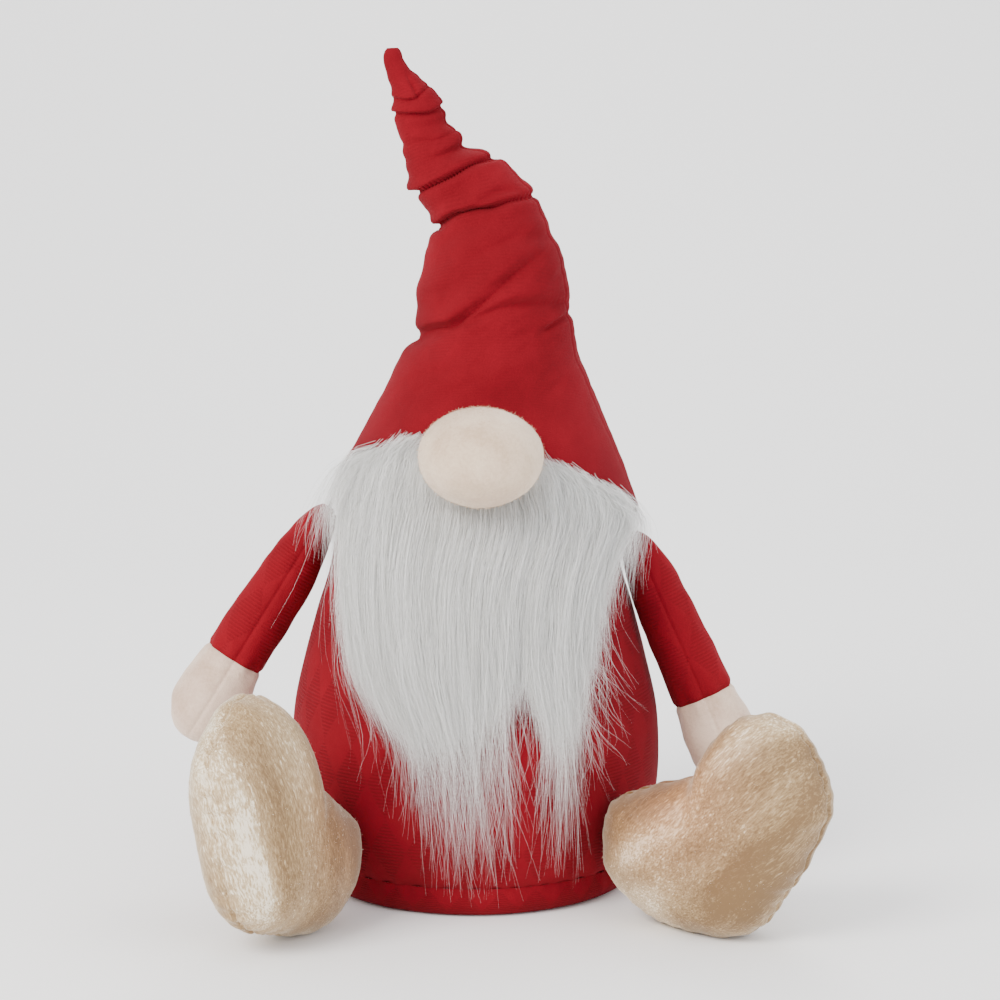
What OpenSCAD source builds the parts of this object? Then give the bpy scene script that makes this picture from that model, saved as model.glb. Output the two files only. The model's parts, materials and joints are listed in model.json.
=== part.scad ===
// Sitting tomte gnome: stuffed body on a weighted base, crumpled hat, nose, beard, arms and boots.
// The gnome faces -Y, +X is on its left hand, +Z is up, and the origin is the middle of its base.

/* [Body] */
// Radius of the flat that meets the table
base_flat_r = 108; // [95:1:115]
// Radius of the body at the base seam
seam_r = 121; // [116:1:126]
// Height of the base seam
seam_z = 21; // [16:1:26]
// Height of the body under the hat
body_h = 328; // [320:1:334]
// Thickness of the jersey
jersey_t = 1.6; // [1:0.1:2.5]

/* [Hat] */
// Middle of the lower hat, beside the body's middle
hat_x = 11; // [6:1:14]
// Height of the brim at the middle
brim_z = 284; // [280:1:288]
// Slope of the brim down to the right
brim_right = 11; // [6:0.5:13]
// Slope of the brim down to the back
brim_back = 20; // [14:0.5:22]
// Thickness of the hat cloth
hat_t = 1.8; // [1:0.1:2.5]
// Height of the lower fold
fold_a_z = 392; // [390:1:395]
// Height of the middle fold
fold_b_z = 485; // [482:1:488]
// Height of the tip fold
fold_c_z = 550; // [547:1:553]
// Height of the tip's end
hat_end_z = 598; // [594:1:604]
// Gap that each fold leaves on either side
fold_gap = 4.5; // [4:0.5:4.5]
// Radius of the wire in the hat
wire_r = 1.2; // [0.8:0.1:1.6]

/* [Face] */
// Height of the nose's middle
nose_z = 323; // [320:1:326]
// Width of the nose
nose_w = 85; // [78:1:88]
// Height of the nose
nose_h = 67; // [60:1:70]
// Width of the beard at its top
beard_w = 196; // [180:1:200]
// Height at which the beard starts to swing free
beard_hinge_z = 275; // [270:1:278]
// Height of the beard's lower end
beard_end_z = 36; // [30:1:50]

/* [Arms] */
// Length of the sleeve
sleeve_len = 130; // [120:1:136]
// Length from the shoulder to the fingertips
arm_len = 197; // [185:1:203]
// Height of the shoulder on the viewer's left
left_shoulder_z = 272; // [269:1:275]
// Height of the shoulder on the viewer's right
right_shoulder_z = 253; // [250:1:256]
// Angle of the left arm from upright
left_spread = 32; // [30:1:40]
// Angle of the right arm from upright
right_spread = 24; // [23:1:35]
// Lean of both arms to the front
arm_lean = 7; // [4:1:12]

/* [Boots] */
// Half thickness of a boot
boot_half = 40; // [34:1:42]
// Thickness of the velvet
velvet_t = 1.8; // [1:0.1:2.5]
// Angle round the body at which a boot is sewn on
boot_round = 43; // [41:1:46]
// Turn from straight ahead of the boot on the viewer's left
left_boot_turn = 31; // [28:1:36]
// Turn from straight ahead of the boot on the viewer's right
right_boot_turn = 57; // [52:1:60]

/* [Hidden] */
fold_a = [15, 0, fold_a_z];
fold_b = [8, 0, fold_b_z];
fold_c = [-40, 0, fold_c_z];
hat_end = [-65, 0, hat_end_z];
nose_at = [5, -121, nose_z];
left_shoulder = [-104, -4, left_shoulder_z];
right_shoulder = [112, -4, right_shoulder_z];
// Each boot's turn from straight ahead, its lean and its tilt up
left_boot = [left_boot_turn, -5, 16];
right_boot = [right_boot_turn, -1, -2];
$fn = 64;
steps = 10;
far = 800;
skin = 0.3;
red = "#a52227";
jersey_red = "#9e2529";
cream = "#dcd2c8";
fur_white = "#dddcd8";
champagne = "#b8a488";
filling = "#efece6";
thread_dark = "#5a1518";

// A point on a cubic curve through p[0] and p[3], drawn towards p[1] and p[2]
function curve_at(p, t) =
    pow(1 - t, 3) * p[0] + 3 * pow(1 - t, 2) * t * p[1] + 3 * (1 - t) * t * t * p[2] + t * t * t * p[3];
function curve(p) = [for (i = [0:steps]) curve_at(p, i / steps)];
function middle_part(list) = [for (i = [1:len(list) - 2]) list[i]];

// ---- Body ----
// The side of the body as radius and height, drawn inside by inset
function body_side(inset) = concat(
    [[0, inset]],
    curve([[base_flat_r, inset], [seam_r - 5, inset + 1], [seam_r - inset, seam_z / 2],
        [seam_r - inset, seam_z]]),
    middle_part(curve([[seam_r - inset, seam_z], [146 - inset, 84], [128 - inset, 150],
        [105 - inset, 225]])),
    curve([[105 - inset, 225], [98 - inset, 270], [80 - inset, body_h - 3 - inset],
        [0, body_h - inset]])
);

module body_solid(inset = 0) {
    rotate_extrude() polygon(body_side(inset));
}

module body_skin() {
    difference() {
        body_solid();
        body_solid(jersey_t);
    }
}

// The half space in front of the side seams, or behind them
module front_half(at = [0, 0, 0]) {
    translate(at - [far, 2 * far, far]) cube(2 * far);
}

module back_half(at = [0, 0, 0]) {
    translate(at - [far, 0, far]) cube(2 * far);
}

module above(z) {
    translate([-far, -far, z]) cube(2 * far);
}

module body_front_panel() {
    color(jersey_red) intersection() {
        body_skin();
        front_half();
        above(seam_z);
    }
}

module body_back_panel() {
    color(jersey_red) intersection() {
        body_skin();
        back_half();
        above(seam_z);
    }
}

module base_panel() {
    color(jersey_red) difference() {
        body_skin();
        above(seam_z);
    }
}

module base_seam_thread() {
    thread = 0.4;
    color(thread_dark) translate([0, 0, seam_z]) rotate_extrude()
        translate([seam_r + thread + 0.15, 0]) circle(thread, $fn = 16);
}

// The pellet bag lies in the bottom of the body, and the stuffing is above it
bag_side = [[0, 2.2], [100, 2.2], [111, 9], [116, 22], [112, 38], [0, 44]];

module body_stuffing() {
    color(filling) intersection() {
        body_solid(jersey_t + skin);
        above(46);
    }
}

module weight_bag() {
    color("#cfc7b8") rotate_extrude() difference() {
        polygon(bag_side);
        translate([0, 1]) polygon([for (p = bag_side) [max(p[0] - 1.4, 0), p[1] > 30 ? p[1] - 2 : p[1]]]);
    }
}

module weight_pellets() {
    color("#e4e2dc") translate([0, 0, 1.2]) rotate_extrude()
        polygon([for (p = bag_side) [max(p[0] - 1.8, 0), p[1] > 30 ? p[1] - 2.6 : p[1]]]);
}

// ---- Hat ----
// Everything above the plane of the brim, raised by rise
module above_brim(rise = 0) {
    translate([hat_x, 0, brim_z + rise]) rotate([-brim_back, brim_right, 0])
        translate([-far, -far, 0]) cube(2 * far);
}

// The side of the lower hat, drawn inside by inset, closed by a dome just under the lower fold
function lower_side(inset) = concat(
    [[0, 225]],
    curve([[128 - inset, 225], [107 - inset, 283], [80 - inset, 340], [70 - inset, 360]]),
    [for (a = [10:10:90]) [(70 - inset) * cos(a), 360 + (fold_a[2] - fold_gap - 360 - inset) * sin(a)]]
);

module lower_solid(inset = 0) {
    translate([hat_x, 0, 0]) rotate_extrude() polygon(lower_side(inset));
}

// Turns upright work at the origin to stand at from and point to to, which is in the same XZ plane
module along(from, to) {
    translate(from) rotate([0, atan2(to[0] - from[0], to[2] - from[2]), 0]) children();
}

module wire_between(from, to, end_gap) {
    color("#8f8f8c") along(from, to) translate([0, 0, 1.2])
        cylinder(r = wire_r, h = norm(to - from) - 1.2 - end_gap);
}

module wire_way(from, to) {
    along(from, to) translate([0, 0, -20]) cylinder(r = wire_r + skin, h = norm(to - from) + 40);
}

wire_foot = [fold_a[0], 0, body_h + 4];

module hat_lower_skin() {
    difference() {
        intersection() {
            lower_solid();
            above_brim();
        }
        lower_solid(hat_t);
        wire_way(wire_foot, fold_a);
    }
}

module hat_lower_front_panel() {
    color(red) intersection() {
        hat_lower_skin();
        front_half();
    }
}

module hat_lower_back_panel() {
    color(red) intersection() {
        hat_lower_skin();
        back_half();
    }
}

module hat_lower_stuffing() {
    color(filling) difference() {
        intersection() {
            lower_solid(hat_t + skin);
            above_brim(12);
        }
        body_solid(-0.8);
        wire_way(wire_foot, fold_a);
    }
}

module hat_lower_wire() {
    wire_between(wire_foot, fold_a, 1.2);
}

// A part of the hat between two folds: a barrel with domed ends, as radius and height along it
function barrel(length, r0, r1, dome0, dome1, inset) = concat(
    [for (a = [0:10:90]) [(r0 - inset) * sin(a), dome0 - (dome0 - inset) * cos(a)]],
    middle_part(curve([[r0 - inset, dome0], [r0 - inset, dome0 + (length - dome0 - dome1) * 0.4],
        [r1 - inset, length - dome1 - (length - dome0 - dome1) * 0.4], [r1 - inset, length - dome1]])),
    [for (a = [0:10:90]) [(r1 - inset) * cos(a), length - dome1 + (dome1 - inset) * sin(a)]]
);

// Each part of the hat is its two ends, its two radii and the heights of its two domes
middle_hat = [fold_a, fold_b, 57, 43, 24, 24];
upper_hat = [fold_b, fold_c, 37, 17, 24, 11];
tip_hat = [fold_c, hat_end, 14, 6, 9, 6];

module hat_part_solid(part, inset = 0) {
    length = norm(part[1] - part[0]) - 2 * fold_gap;
    along(part[0], part[1]) translate([0, 0, fold_gap])
        rotate_extrude() polygon(barrel(length, part[2], part[3], part[4], part[5], inset));
}

module hat_part_skin(part) {
    difference() {
        hat_part_solid(part);
        hat_part_solid(part, hat_t);
        wire_way(part[0], part[1]);
    }
}

module hat_part_stuffing(part) {
    color(filling) difference() {
        hat_part_solid(part, hat_t + skin);
        wire_way(part[0], part[1]);
    }
}

module hat_middle_front_panel() {
    color(red) intersection() {
        hat_part_skin(middle_hat);
        front_half();
    }
}

module hat_middle_back_panel() {
    color(red) intersection() {
        hat_part_skin(middle_hat);
        back_half();
    }
}

module hat_middle_stuffing() {
    hat_part_stuffing(middle_hat);
}

module hat_middle_wire() {
    wire_between(fold_a, fold_b, 1.2);
}

module hat_upper_front_panel() {
    color(red) intersection() {
        hat_part_skin(upper_hat);
        front_half();
    }
}

module hat_upper_back_panel() {
    color(red) intersection() {
        hat_part_skin(upper_hat);
        back_half();
    }
}

module hat_upper_stuffing() {
    hat_part_stuffing(upper_hat);
}

module hat_upper_wire() {
    wire_between(fold_b, fold_c, 1.2);
}

module hat_tip_cover() {
    color(red) difference() {
        hat_part_solid(tip_hat);
        hat_part_solid(tip_hat, hat_t);
        along(fold_c, hat_end) cylinder(r = wire_r + skin, h = 20);
    }
}

module hat_tip_stuffing() {
    color(filling) difference() {
        hat_part_solid(tip_hat, hat_t + skin);
        along(fold_c, hat_end) cylinder(r = wire_r + skin, h = 38);
    }
}

module hat_tip_wire() {
    wire_between(fold_c, hat_end, 18);
}

// ---- Face ----
// Half an ellipse as radius and height
function half_oval(w, h) = [for (a = [-90:7.5:90]) [w / 2 * cos(a), h / 2 * sin(a)]];

module nose_solid(inset = 0) {
    difference() {
        translate(nose_at) rotate_extrude() polygon(half_oval(nose_w - 2 * inset, nose_h - 2 * inset));
        lower_solid(-0.8 - inset);
    }
}

module nose_cover() {
    color(cream) difference() {
        nose_solid();
        nose_solid(1.8);
    }
}

module nose_stuffing() {
    color(filling) nose_solid(1.8 + skin);
}

// The part of the beard that is caught under the brim, between two distances from the hat's surface
module beard_band(low, high) {
    difference() {
        intersection() {
            lower_solid(-high);
            front_half([0, -34, 0]);
            above(beard_hinge_z + 3);
            translate([-beard_w / 2, -far, 0]) cube([beard_w, far, far]);
        }
        lower_solid(-low);
        above_brim(-0.6);
        translate(nose_at) rotate_extrude() polygon(half_oval(nose_w + 1.6, nose_h + 1.6));
    }
}

module beard_top_backing() {
    color(fur_white) beard_band(0, 1.4);
}

module beard_top_fur() {
    color(fur_white) beard_band(1.6, 9);
}

// The hanging part rests on the belly: its inner side as radius and height
fall_inner = [[109, beard_hinge_z], [135.6, 112], [137, 84], [134.4, 56], [130.5, beard_end_z]];
fall_outer = [[133, beard_end_z], [141, 56], [149, 100], [148, 140], [137, 210], [120, beard_hinge_z]];
// The beard seen from the front
fall_outline = [
    [-beard_w / 2 + 2, beard_hinge_z], [-91, 225], [-80, 165], [-58, 110], [-50, 75], [-30, beard_end_z],
    [58, beard_end_z], [66, 75], [74, 110], [80, 165], [88, 225], [beard_w / 2 - 2, beard_hinge_z]
];

module fall_shape() {
    rotate([90, 0, 0]) linear_extrude(far) polygon(fall_outline);
}

function moved_out(points, by) = [for (p = points) [p[0] + by, p[1]]];
function reversed(list) = [for (i = [len(list) - 1:-1:0]) list[i]];

module beard_fall_backing() {
    color(fur_white) intersection() {
        rotate_extrude() polygon(concat(fall_inner, reversed(moved_out(fall_inner, 1.4))));
        fall_shape();
    }
}

module beard_fall_fur() {
    color(fur_white) intersection() {
        rotate_extrude() polygon(concat(moved_out(fall_inner, 1.6), fall_outer));
        fall_shape();
    }
}

// ---- Arms ----
// The sleeve from the shoulder to the cuff, and the hand from the cuff on
function sleeve_side(inset) = concat(
    curve([[max(4 - inset, 0.5), 2 + inset], [12 - inset, 16], [20 - inset, 34], [20 - inset, 56]]),
    middle_part(curve([[20 - inset, 56], [20 - inset, 80], [22 - inset, 110], [22 - inset, sleeve_len]]))
);
function hand_side(inset) = concat(
    curve([[22 - inset, sleeve_len], [26.5 - inset, sleeve_len + 20], [28 - inset, arm_len - inset],
        [0, arm_len - inset]])
);

module arm_place(shoulder, spread) {
    translate(shoulder) rotate([0, spread, 0]) rotate([-arm_lean, 0, 0]) mirror([0, 0, 1]) children();
}

module sleeve_solid(inset = 0) {
    side = sleeve_side(inset);
    rotate_extrude() polygon(concat([[0, side[0][1]]], side, [[22 - inset, sleeve_len], [0, sleeve_len]]));
}

module hand_solid(inset = 0, start = sleeve_len) {
    rotate_extrude() polygon(concat([[0, start]], [[22 - inset, start]], hand_side(inset)));
}

module left_side_of_arm() {
    translate([-far, -far / 2, -far / 2]) cube(far);
}

module right_side_of_arm() {
    translate([0, -far / 2, -far / 2]) cube(far);
}

module sleeve_skin() {
    difference() {
        sleeve_solid();
        sleeve_solid(jersey_t);
        translate([0, 0, sleeve_len - 5]) cylinder(r = 22 - jersey_t, h = 20);
    }
}

module hand_skin() {
    difference() {
        hand_solid();
        hand_solid(jersey_t, sleeve_len - 5);
    }
}

module arm_stuffing() {
    color(filling) {
        union() {
            sleeve_solid(jersey_t + skin);
            hand_solid(jersey_t + skin, sleeve_len);
        }
    }
}

module left_sleeve_outer_panel() {
    color(jersey_red) arm_place(left_shoulder, left_spread) intersection() {
        sleeve_skin();
        left_side_of_arm();
    }
}

module left_sleeve_inner_panel() {
    color(jersey_red) arm_place(left_shoulder, left_spread) intersection() {
        sleeve_skin();
        right_side_of_arm();
    }
}

module left_hand_outer_panel() {
    color(cream) arm_place(left_shoulder, left_spread) intersection() {
        hand_skin();
        left_side_of_arm();
    }
}

module left_hand_inner_panel() {
    color(cream) arm_place(left_shoulder, left_spread) intersection() {
        hand_skin();
        right_side_of_arm();
    }
}

module left_arm_stuffing() {
    arm_place(left_shoulder, left_spread) arm_stuffing();
}

module right_sleeve_outer_panel() {
    color(jersey_red) arm_place(right_shoulder, -right_spread) intersection() {
        sleeve_skin();
        right_side_of_arm();
    }
}

module right_sleeve_inner_panel() {
    color(jersey_red) arm_place(right_shoulder, -right_spread) intersection() {
        sleeve_skin();
        left_side_of_arm();
    }
}

module right_hand_outer_panel() {
    color(cream) arm_place(right_shoulder, -right_spread) intersection() {
        hand_skin();
        right_side_of_arm();
    }
}

module right_hand_inner_panel() {
    color(cream) arm_place(right_shoulder, -right_spread) intersection() {
        hand_skin();
        left_side_of_arm();
    }
}

module right_arm_stuffing() {
    arm_place(right_shoulder, -right_spread) arm_stuffing();
}

module shoulder_thread(shoulder) {
    color(jersey_red) translate(shoulder) rotate([90, 0, 0]) cylinder(r = 0.8, h = 14, center = true);
}

module left_shoulder_thread() {
    shoulder_thread(left_shoulder);
}

module right_shoulder_thread() {
    shoulder_thread(right_shoulder);
}

// ---- Boots ----
// The boot from its side, as the distance out from the hip and the height over the hip
boot_outline = [
    [1, 8], [8, 28], [29, 39], [53, 49], [73, 58], [85, 82], [102, 101], [125, 108], [148, 99],
    [165, 72], [170, 47], [157, 14], [144, -12], [129, -37], [108, -48], [77, -50], [48, -49],
    [24, -39], [5, -20]
];
boot_middle = [88, 15];
rings = [1, 0.96, 0.86, 0.7, 0.48, 0.24];

// The outline drawn smooth: two more points between each two, on a curve through all of them
function bent(p, i, t) = let (
    n = len(p),
    a = p[(i + n - 1) % n],
    b = p[i],
    c = p[(i + 1) % n],
    d = p[(i + 2) % n]
) 0.5 * (2 * b + (c - a) * t + (2 * a - 5 * b + 4 * c - d) * t * t + (3 * b - a - 3 * c + d) * t * t * t);
boot_edge = [for (i = [0:len(boot_outline) - 1]) for (t = [0, 0.5]) bent(boot_outline, i, t)];
around = len(boot_edge);

// One side of the pillow, drawn inside by inset: rings of points from the edge to the middle
function pillow_side(inset) = [
    for (q = rings)
        for (p = boot_edge) let (
            reach = norm(p - boot_middle),
            flat = boot_middle + (p - boot_middle) * q * (reach - inset) / reach
        ) [flat[0], (boot_half - inset) * sqrt(max(1 - pow(q, 2.4), 0)), flat[1]]
];
function ring_faces(first, turn) = [
    for (k = [0:len(rings) - 2])
        for (i = [0:around - 1]) let (
            a = first + k * around + i,
            b = first + k * around + (i + 1) % around
        ) each (turn ? [[a, b + around, b], [a, a + around, b + around]]
            : [[a, b, b + around], [a, b + around, a + around]])
];
function cap_faces(first, top, turn) = [
    for (i = [0:around - 1]) let (
        a = first + (len(rings) - 1) * around + i,
        b = first + (len(rings) - 1) * around + (i + 1) % around
    ) turn ? [a, top, b] : [a, b, top]
];

// One velvet panel: the outer and the inner side of the pillow, joined round the edge
module boot_panel() {
    count = around * len(rings);
    points = concat(
        pillow_side(0), pillow_side(velvet_t),
        [[boot_middle[0], boot_half, boot_middle[1]]],
        [[boot_middle[0], boot_half - velvet_t, boot_middle[1]]]
    );
    faces = concat(
        ring_faces(0, false), cap_faces(0, 2 * count, false),
        ring_faces(count, true), cap_faces(count, 2 * count + 1, true),
        [for (i = [0:around - 1]) each [
            [i, count + (i + 1) % around, (i + 1) % around],
            [i, count + i, count + (i + 1) % around]]]
    );
    polyhedron(points, faces);
}

module boot_half_stuffing() {
    inset = velvet_t + skin;
    count = around * len(rings);
    points = concat(pillow_side(inset), [[boot_middle[0], boot_half - inset, boot_middle[1]]]);
    faces = concat(
        ring_faces(0, false), cap_faces(0, count, false),
        [[for (i = [around - 1:-1:0]) i]]
    );
    polyhedron(points, faces);
}

module both_halves() {
    union() {
        boot_half_stuffing();
        mirror([0, 1, 0]) boot_half_stuffing();
    }
}

// Height of the hips, set so that each boot's lowest point is on the table
left_hip_z = 33.8;
right_hip_z = 53.1;
hip_out = 133;

// Stands a boot at the hip: side is -1 on the left and 1 on the right of the viewer
module boot_place(side, boot, hip_z) {
    translate([side * hip_out * sin(boot_round), -hip_out * cos(boot_round), hip_z])
        rotate([0, 0, side * boot[0] - 90]) rotate([side * boot[1], -boot[2], 0]) children();
}

module left_boot_outer_panel() {
    color(champagne) boot_place(-1, left_boot, left_hip_z) mirror([0, 1, 0]) boot_panel();
}

module left_boot_inner_panel() {
    color(champagne) boot_place(-1, left_boot, left_hip_z) boot_panel();
}

module left_boot_stuffing() {
    color(filling) boot_place(-1, left_boot, left_hip_z) both_halves();
}

module right_boot_outer_panel() {
    color(champagne) boot_place(1, right_boot, right_hip_z) boot_panel();
}

module right_boot_inner_panel() {
    color(champagne) boot_place(1, right_boot, right_hip_z) mirror([0, 1, 0]) boot_panel();
}

module right_boot_stuffing() {
    color(filling) boot_place(1, right_boot, right_hip_z) both_halves();
}

// The tack thread runs along the line that the boot swings about, out from and over the hip
left_hinge = [16, 38];
right_hinge = [6, 30];

module hip_thread(hinge) {
    color("#cdbb9f") translate([hinge[0], 0, hinge[1]]) rotate([90, 0, 0])
        cylinder(r = 0.8, h = 11, center = true);
}

module left_hip_thread() {
    boot_place(-1, left_boot, left_hip_z) hip_thread(left_hinge);
}

module right_hip_thread() {
    boot_place(1, right_boot, right_hip_z) hip_thread(right_hinge);
}

// ---- Every node ----
body_front_panel();
body_back_panel();
base_panel();
base_seam_thread();
body_stuffing();
weight_bag();
weight_pellets();
hat_lower_front_panel();
hat_lower_back_panel();
hat_lower_stuffing();
hat_lower_wire();
hat_middle_front_panel();
hat_middle_back_panel();
hat_middle_stuffing();
hat_middle_wire();
hat_upper_front_panel();
hat_upper_back_panel();
hat_upper_stuffing();
hat_upper_wire();
hat_tip_cover();
hat_tip_stuffing();
hat_tip_wire();
nose_cover();
nose_stuffing();
beard_top_backing();
beard_top_fur();
beard_fall_backing();
beard_fall_fur();
left_sleeve_outer_panel();
left_sleeve_inner_panel();
left_hand_outer_panel();
left_hand_inner_panel();
left_arm_stuffing();
left_shoulder_thread();
right_sleeve_outer_panel();
right_sleeve_inner_panel();
right_hand_outer_panel();
right_hand_inner_panel();
right_arm_stuffing();
right_shoulder_thread();
left_boot_outer_panel();
left_boot_inner_panel();
left_boot_stuffing();
left_hip_thread();
right_boot_outer_panel();
right_boot_inner_panel();
right_boot_stuffing();
right_hip_thread();
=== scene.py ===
import json
import math

import bpy
import numpy as np
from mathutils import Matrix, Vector


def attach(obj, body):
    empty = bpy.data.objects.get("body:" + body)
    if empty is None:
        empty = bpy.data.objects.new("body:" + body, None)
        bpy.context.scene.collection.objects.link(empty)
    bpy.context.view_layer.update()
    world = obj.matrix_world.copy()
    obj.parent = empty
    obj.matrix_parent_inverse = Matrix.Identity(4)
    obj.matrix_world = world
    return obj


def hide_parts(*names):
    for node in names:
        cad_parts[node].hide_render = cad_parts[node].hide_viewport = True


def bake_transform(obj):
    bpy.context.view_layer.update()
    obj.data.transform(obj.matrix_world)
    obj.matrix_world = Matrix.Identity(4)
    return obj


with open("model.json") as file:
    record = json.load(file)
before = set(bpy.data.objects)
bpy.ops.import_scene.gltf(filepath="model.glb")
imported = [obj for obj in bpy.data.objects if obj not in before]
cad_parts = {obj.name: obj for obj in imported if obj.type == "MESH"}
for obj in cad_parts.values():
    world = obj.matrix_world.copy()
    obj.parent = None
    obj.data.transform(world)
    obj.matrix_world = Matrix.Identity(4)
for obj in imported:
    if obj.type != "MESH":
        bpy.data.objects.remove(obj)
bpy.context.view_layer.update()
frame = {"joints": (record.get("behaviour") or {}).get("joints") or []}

MM = 0.001
rng = np.random.default_rng(60)


# ---- Floor, light and camera ----
# A pale sweep stands behind the gnome and soft window-sized lights stand round it. The camera looks
# down at it a little, as a person at a table would.
def linear(hex_colour):
    """An sRGB hex colour as linear red, green, blue and alpha."""
    parts = [int(hex_colour[i:i + 2], 16) / 255 for i in (1, 3, 5)]
    return [p / 12.92 if p <= 0.04045 else ((p + 0.055) / 1.055) ** 2.4 for p in parts] + [1.0]


def node(tree, kind, inputs=None, **settings):
    """Adds a shader node: settings are its own properties, inputs are values or links by socket."""
    made = tree.nodes.new(kind)
    for key, value in settings.items():
        setattr(made, key, value)
    for socket, value in (inputs or {}).items():
        if isinstance(value, bpy.types.NodeSocket):
            tree.links.new(value, made.inputs[socket])
        else:
            made.inputs[socket].default_value = value
    return made


def maths(tree, operation, *values):
    """The result of a maths node whose inputs are these values or links."""
    return node(tree, "ShaderNodeMath", dict(enumerate(values)), operation=operation).outputs[0]


def ranged(tree, value, low=0.0, high=1.0, to_low=0.0, to_high=1.0):
    """The value carried from the range low to high over to the range to_low to to_high, and held there."""
    return node(tree, "ShaderNodeMapRange", {"Value": value, "From Min": low, "From Max": high,
                                             "To Min": to_low, "To Max": to_high}).outputs[0]


def ramp(tree, value, *stops):
    """The colour at this value on a ramp of stops, each a position and an sRGB hex colour."""
    made = node(tree, "ShaderNodeValToRGB", {"Fac": value})
    elements = made.color_ramp.elements
    for element, (place, colour) in zip(elements, (stops[0], stops[-1])):
        element.position, element.color = place, linear(colour)
    for place, colour in stops[1:-1]:
        elements.new(place).color = linear(colour)
    return made.outputs["Color"]


def new_material(name):
    """An empty material and its node tree."""
    material = bpy.data.materials.new(name)
    material.use_nodes = True
    material.node_tree.nodes.clear()
    return material, material.node_tree


def finish_material(tree, shader, height=None, strength=0.5, distance=0.5 * MM):
    """Sends the shader to the output, with a bump from a height where one is given."""
    if height is not None:
        bump = node(tree, "ShaderNodeBump",
                    {"Height": height, "Strength": strength, "Distance": distance})
        tree.links.new(bump.outputs["Normal"], shader.inputs["Normal"])
    output = node(tree, "ShaderNodeOutputMaterial")
    tree.links.new(shader.outputs[0], output.inputs["Surface"])


def new_piece(name, vertices, faces, materials, uv=None, smooth=True, normals=None):
    """A mesh object at the origin, from arrays of vertices, of quads or triangles, and of corner UVs."""
    mesh = bpy.data.meshes.new(name)
    faces = np.asarray(faces)
    corners = faces.shape[1]
    mesh.vertices.add(len(vertices))
    mesh.vertices.foreach_set("co", np.asarray(vertices, np.float32).ravel())
    mesh.loops.add(faces.size)
    mesh.loops.foreach_set("vertex_index", faces.astype(np.int32).ravel())
    mesh.polygons.add(len(faces))
    mesh.polygons.foreach_set("loop_start", np.arange(len(faces), dtype=np.int32) * corners)
    mesh.update(calc_edges=True)
    mesh.validate()
    if smooth:
        mesh.shade_smooth()
    if uv is not None:
        layer = mesh.uv_layers.new(name="UVMap")
        layer.data.foreach_set("uv", np.asarray(uv, np.float32).ravel())
    if normals is not None:
        mesh.normals_split_custom_set_from_vertices(np.asarray(normals, np.float32))
    piece = bpy.data.objects.new(name, mesh)
    bpy.context.scene.collection.objects.link(piece)
    for material in materials:
        mesh.materials.append(material)
    return piece


def grid_quads(rows, columns, wrap):
    """The quads of a grid of points, rows by columns, whose last column meets the first if wrap."""
    row, column = np.meshgrid(np.arange(rows - 1), np.arange(columns if wrap else columns - 1), indexing="ij")
    row, column = row.ravel(), column.ravel()
    after = (column + 1) % columns
    quads = np.stack([row * columns + column, row * columns + after,
                      (row + 1) * columns + after, (row + 1) * columns + column], 1)
    return quads, row, column


sweep_side = np.linspace(-3.2, 3.2, 5)
sweep_turn = np.radians(np.linspace(0, 90, 24))
sweep_out = np.concatenate([[-3.0, 0.6], 1.3 + 1.2 * np.sin(sweep_turn), [2.5]])
sweep_up = np.concatenate([[0.0, 0.0], 1.2 - 1.2 * np.cos(sweep_turn), [3.4]])
sweep_grid = np.stack([np.broadcast_to(sweep_side, (len(sweep_out), 5)),
                       np.broadcast_to(sweep_out[:, None], (len(sweep_out), 5)),
                       np.broadcast_to(sweep_up[:, None], (len(sweep_out), 5))], -1)
paper, tree = new_material("matt white paper sweep")
grain = node(tree, "ShaderNodeTexNoise", {"Scale": 900.0, "Detail": 4.0})
tint = node(tree, "ShaderNodeMapRange", {"Value": grain.outputs["Fac"], "To Min": 0.95, "To Max": 0.97})
finish_material(tree, node(tree, "ShaderNodeBsdfPrincipled", {
    "Base Color": node(tree, "ShaderNodeCombineColor", {
        "Red": tint.outputs[0], "Green": tint.outputs[0], "Blue": tint.outputs[0]}).outputs[0],
    "Roughness": 0.9, "Specular IOR Level": 0.2}))
sweep = new_piece("paper_sweep", sweep_grid.reshape(-1, 3), grid_quads(len(sweep_out), 5, False)[0], [paper])

world = bpy.data.worlds.new("soft daylight")
world.use_nodes = True
world.node_tree.nodes.clear()
sky = node(world.node_tree, "ShaderNodeBackground", {"Color": linear("#fbfbfc"), "Strength": 1.5})
node(world.node_tree, "ShaderNodeOutputWorld", {"Surface": sky.outputs[0]})
bpy.context.scene.world = world


def window_light(name, place, size, watts, colour="#ffffff", aim=(0.0, 0.0, 0.28)):
    """A square area light at place, aimed at a point on the gnome."""
    lamp = bpy.data.lights.new(name, "AREA")
    lamp.shape = "SQUARE"
    lamp.size = size
    lamp.energy = watts
    lamp.color = linear(colour)[:3]
    thing = bpy.data.objects.new(name, lamp)
    thing.location = place
    thing.rotation_euler = (Vector(aim) - Vector(place)).to_track_quat("-Z", "Y").to_euler()
    bpy.context.scene.collection.objects.link(thing)


window_light("key light", (-1.5, -1.7, 1.9), 1.3, 88.0, "#fffaf4")
window_light("fill light", (1.9, -1.6, 1.2), 1.6, 24.0, "#f6f9ff")
window_light("back light", (0.3, 1.5, 2.0), 1.2, 22.0)

camera_data = bpy.data.cameras.new("camera")
camera_data.lens = 95.0
camera_data.sensor_width = 36.0
camera = bpy.data.objects.new("camera", camera_data)
camera.location = (0.018, -1.877, 0.572)
camera.rotation_euler = (math.radians(90 - 9), 0.0, 0.0)
bpy.context.scene.collection.objects.link(camera)
bpy.context.scene.camera = camera


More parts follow.
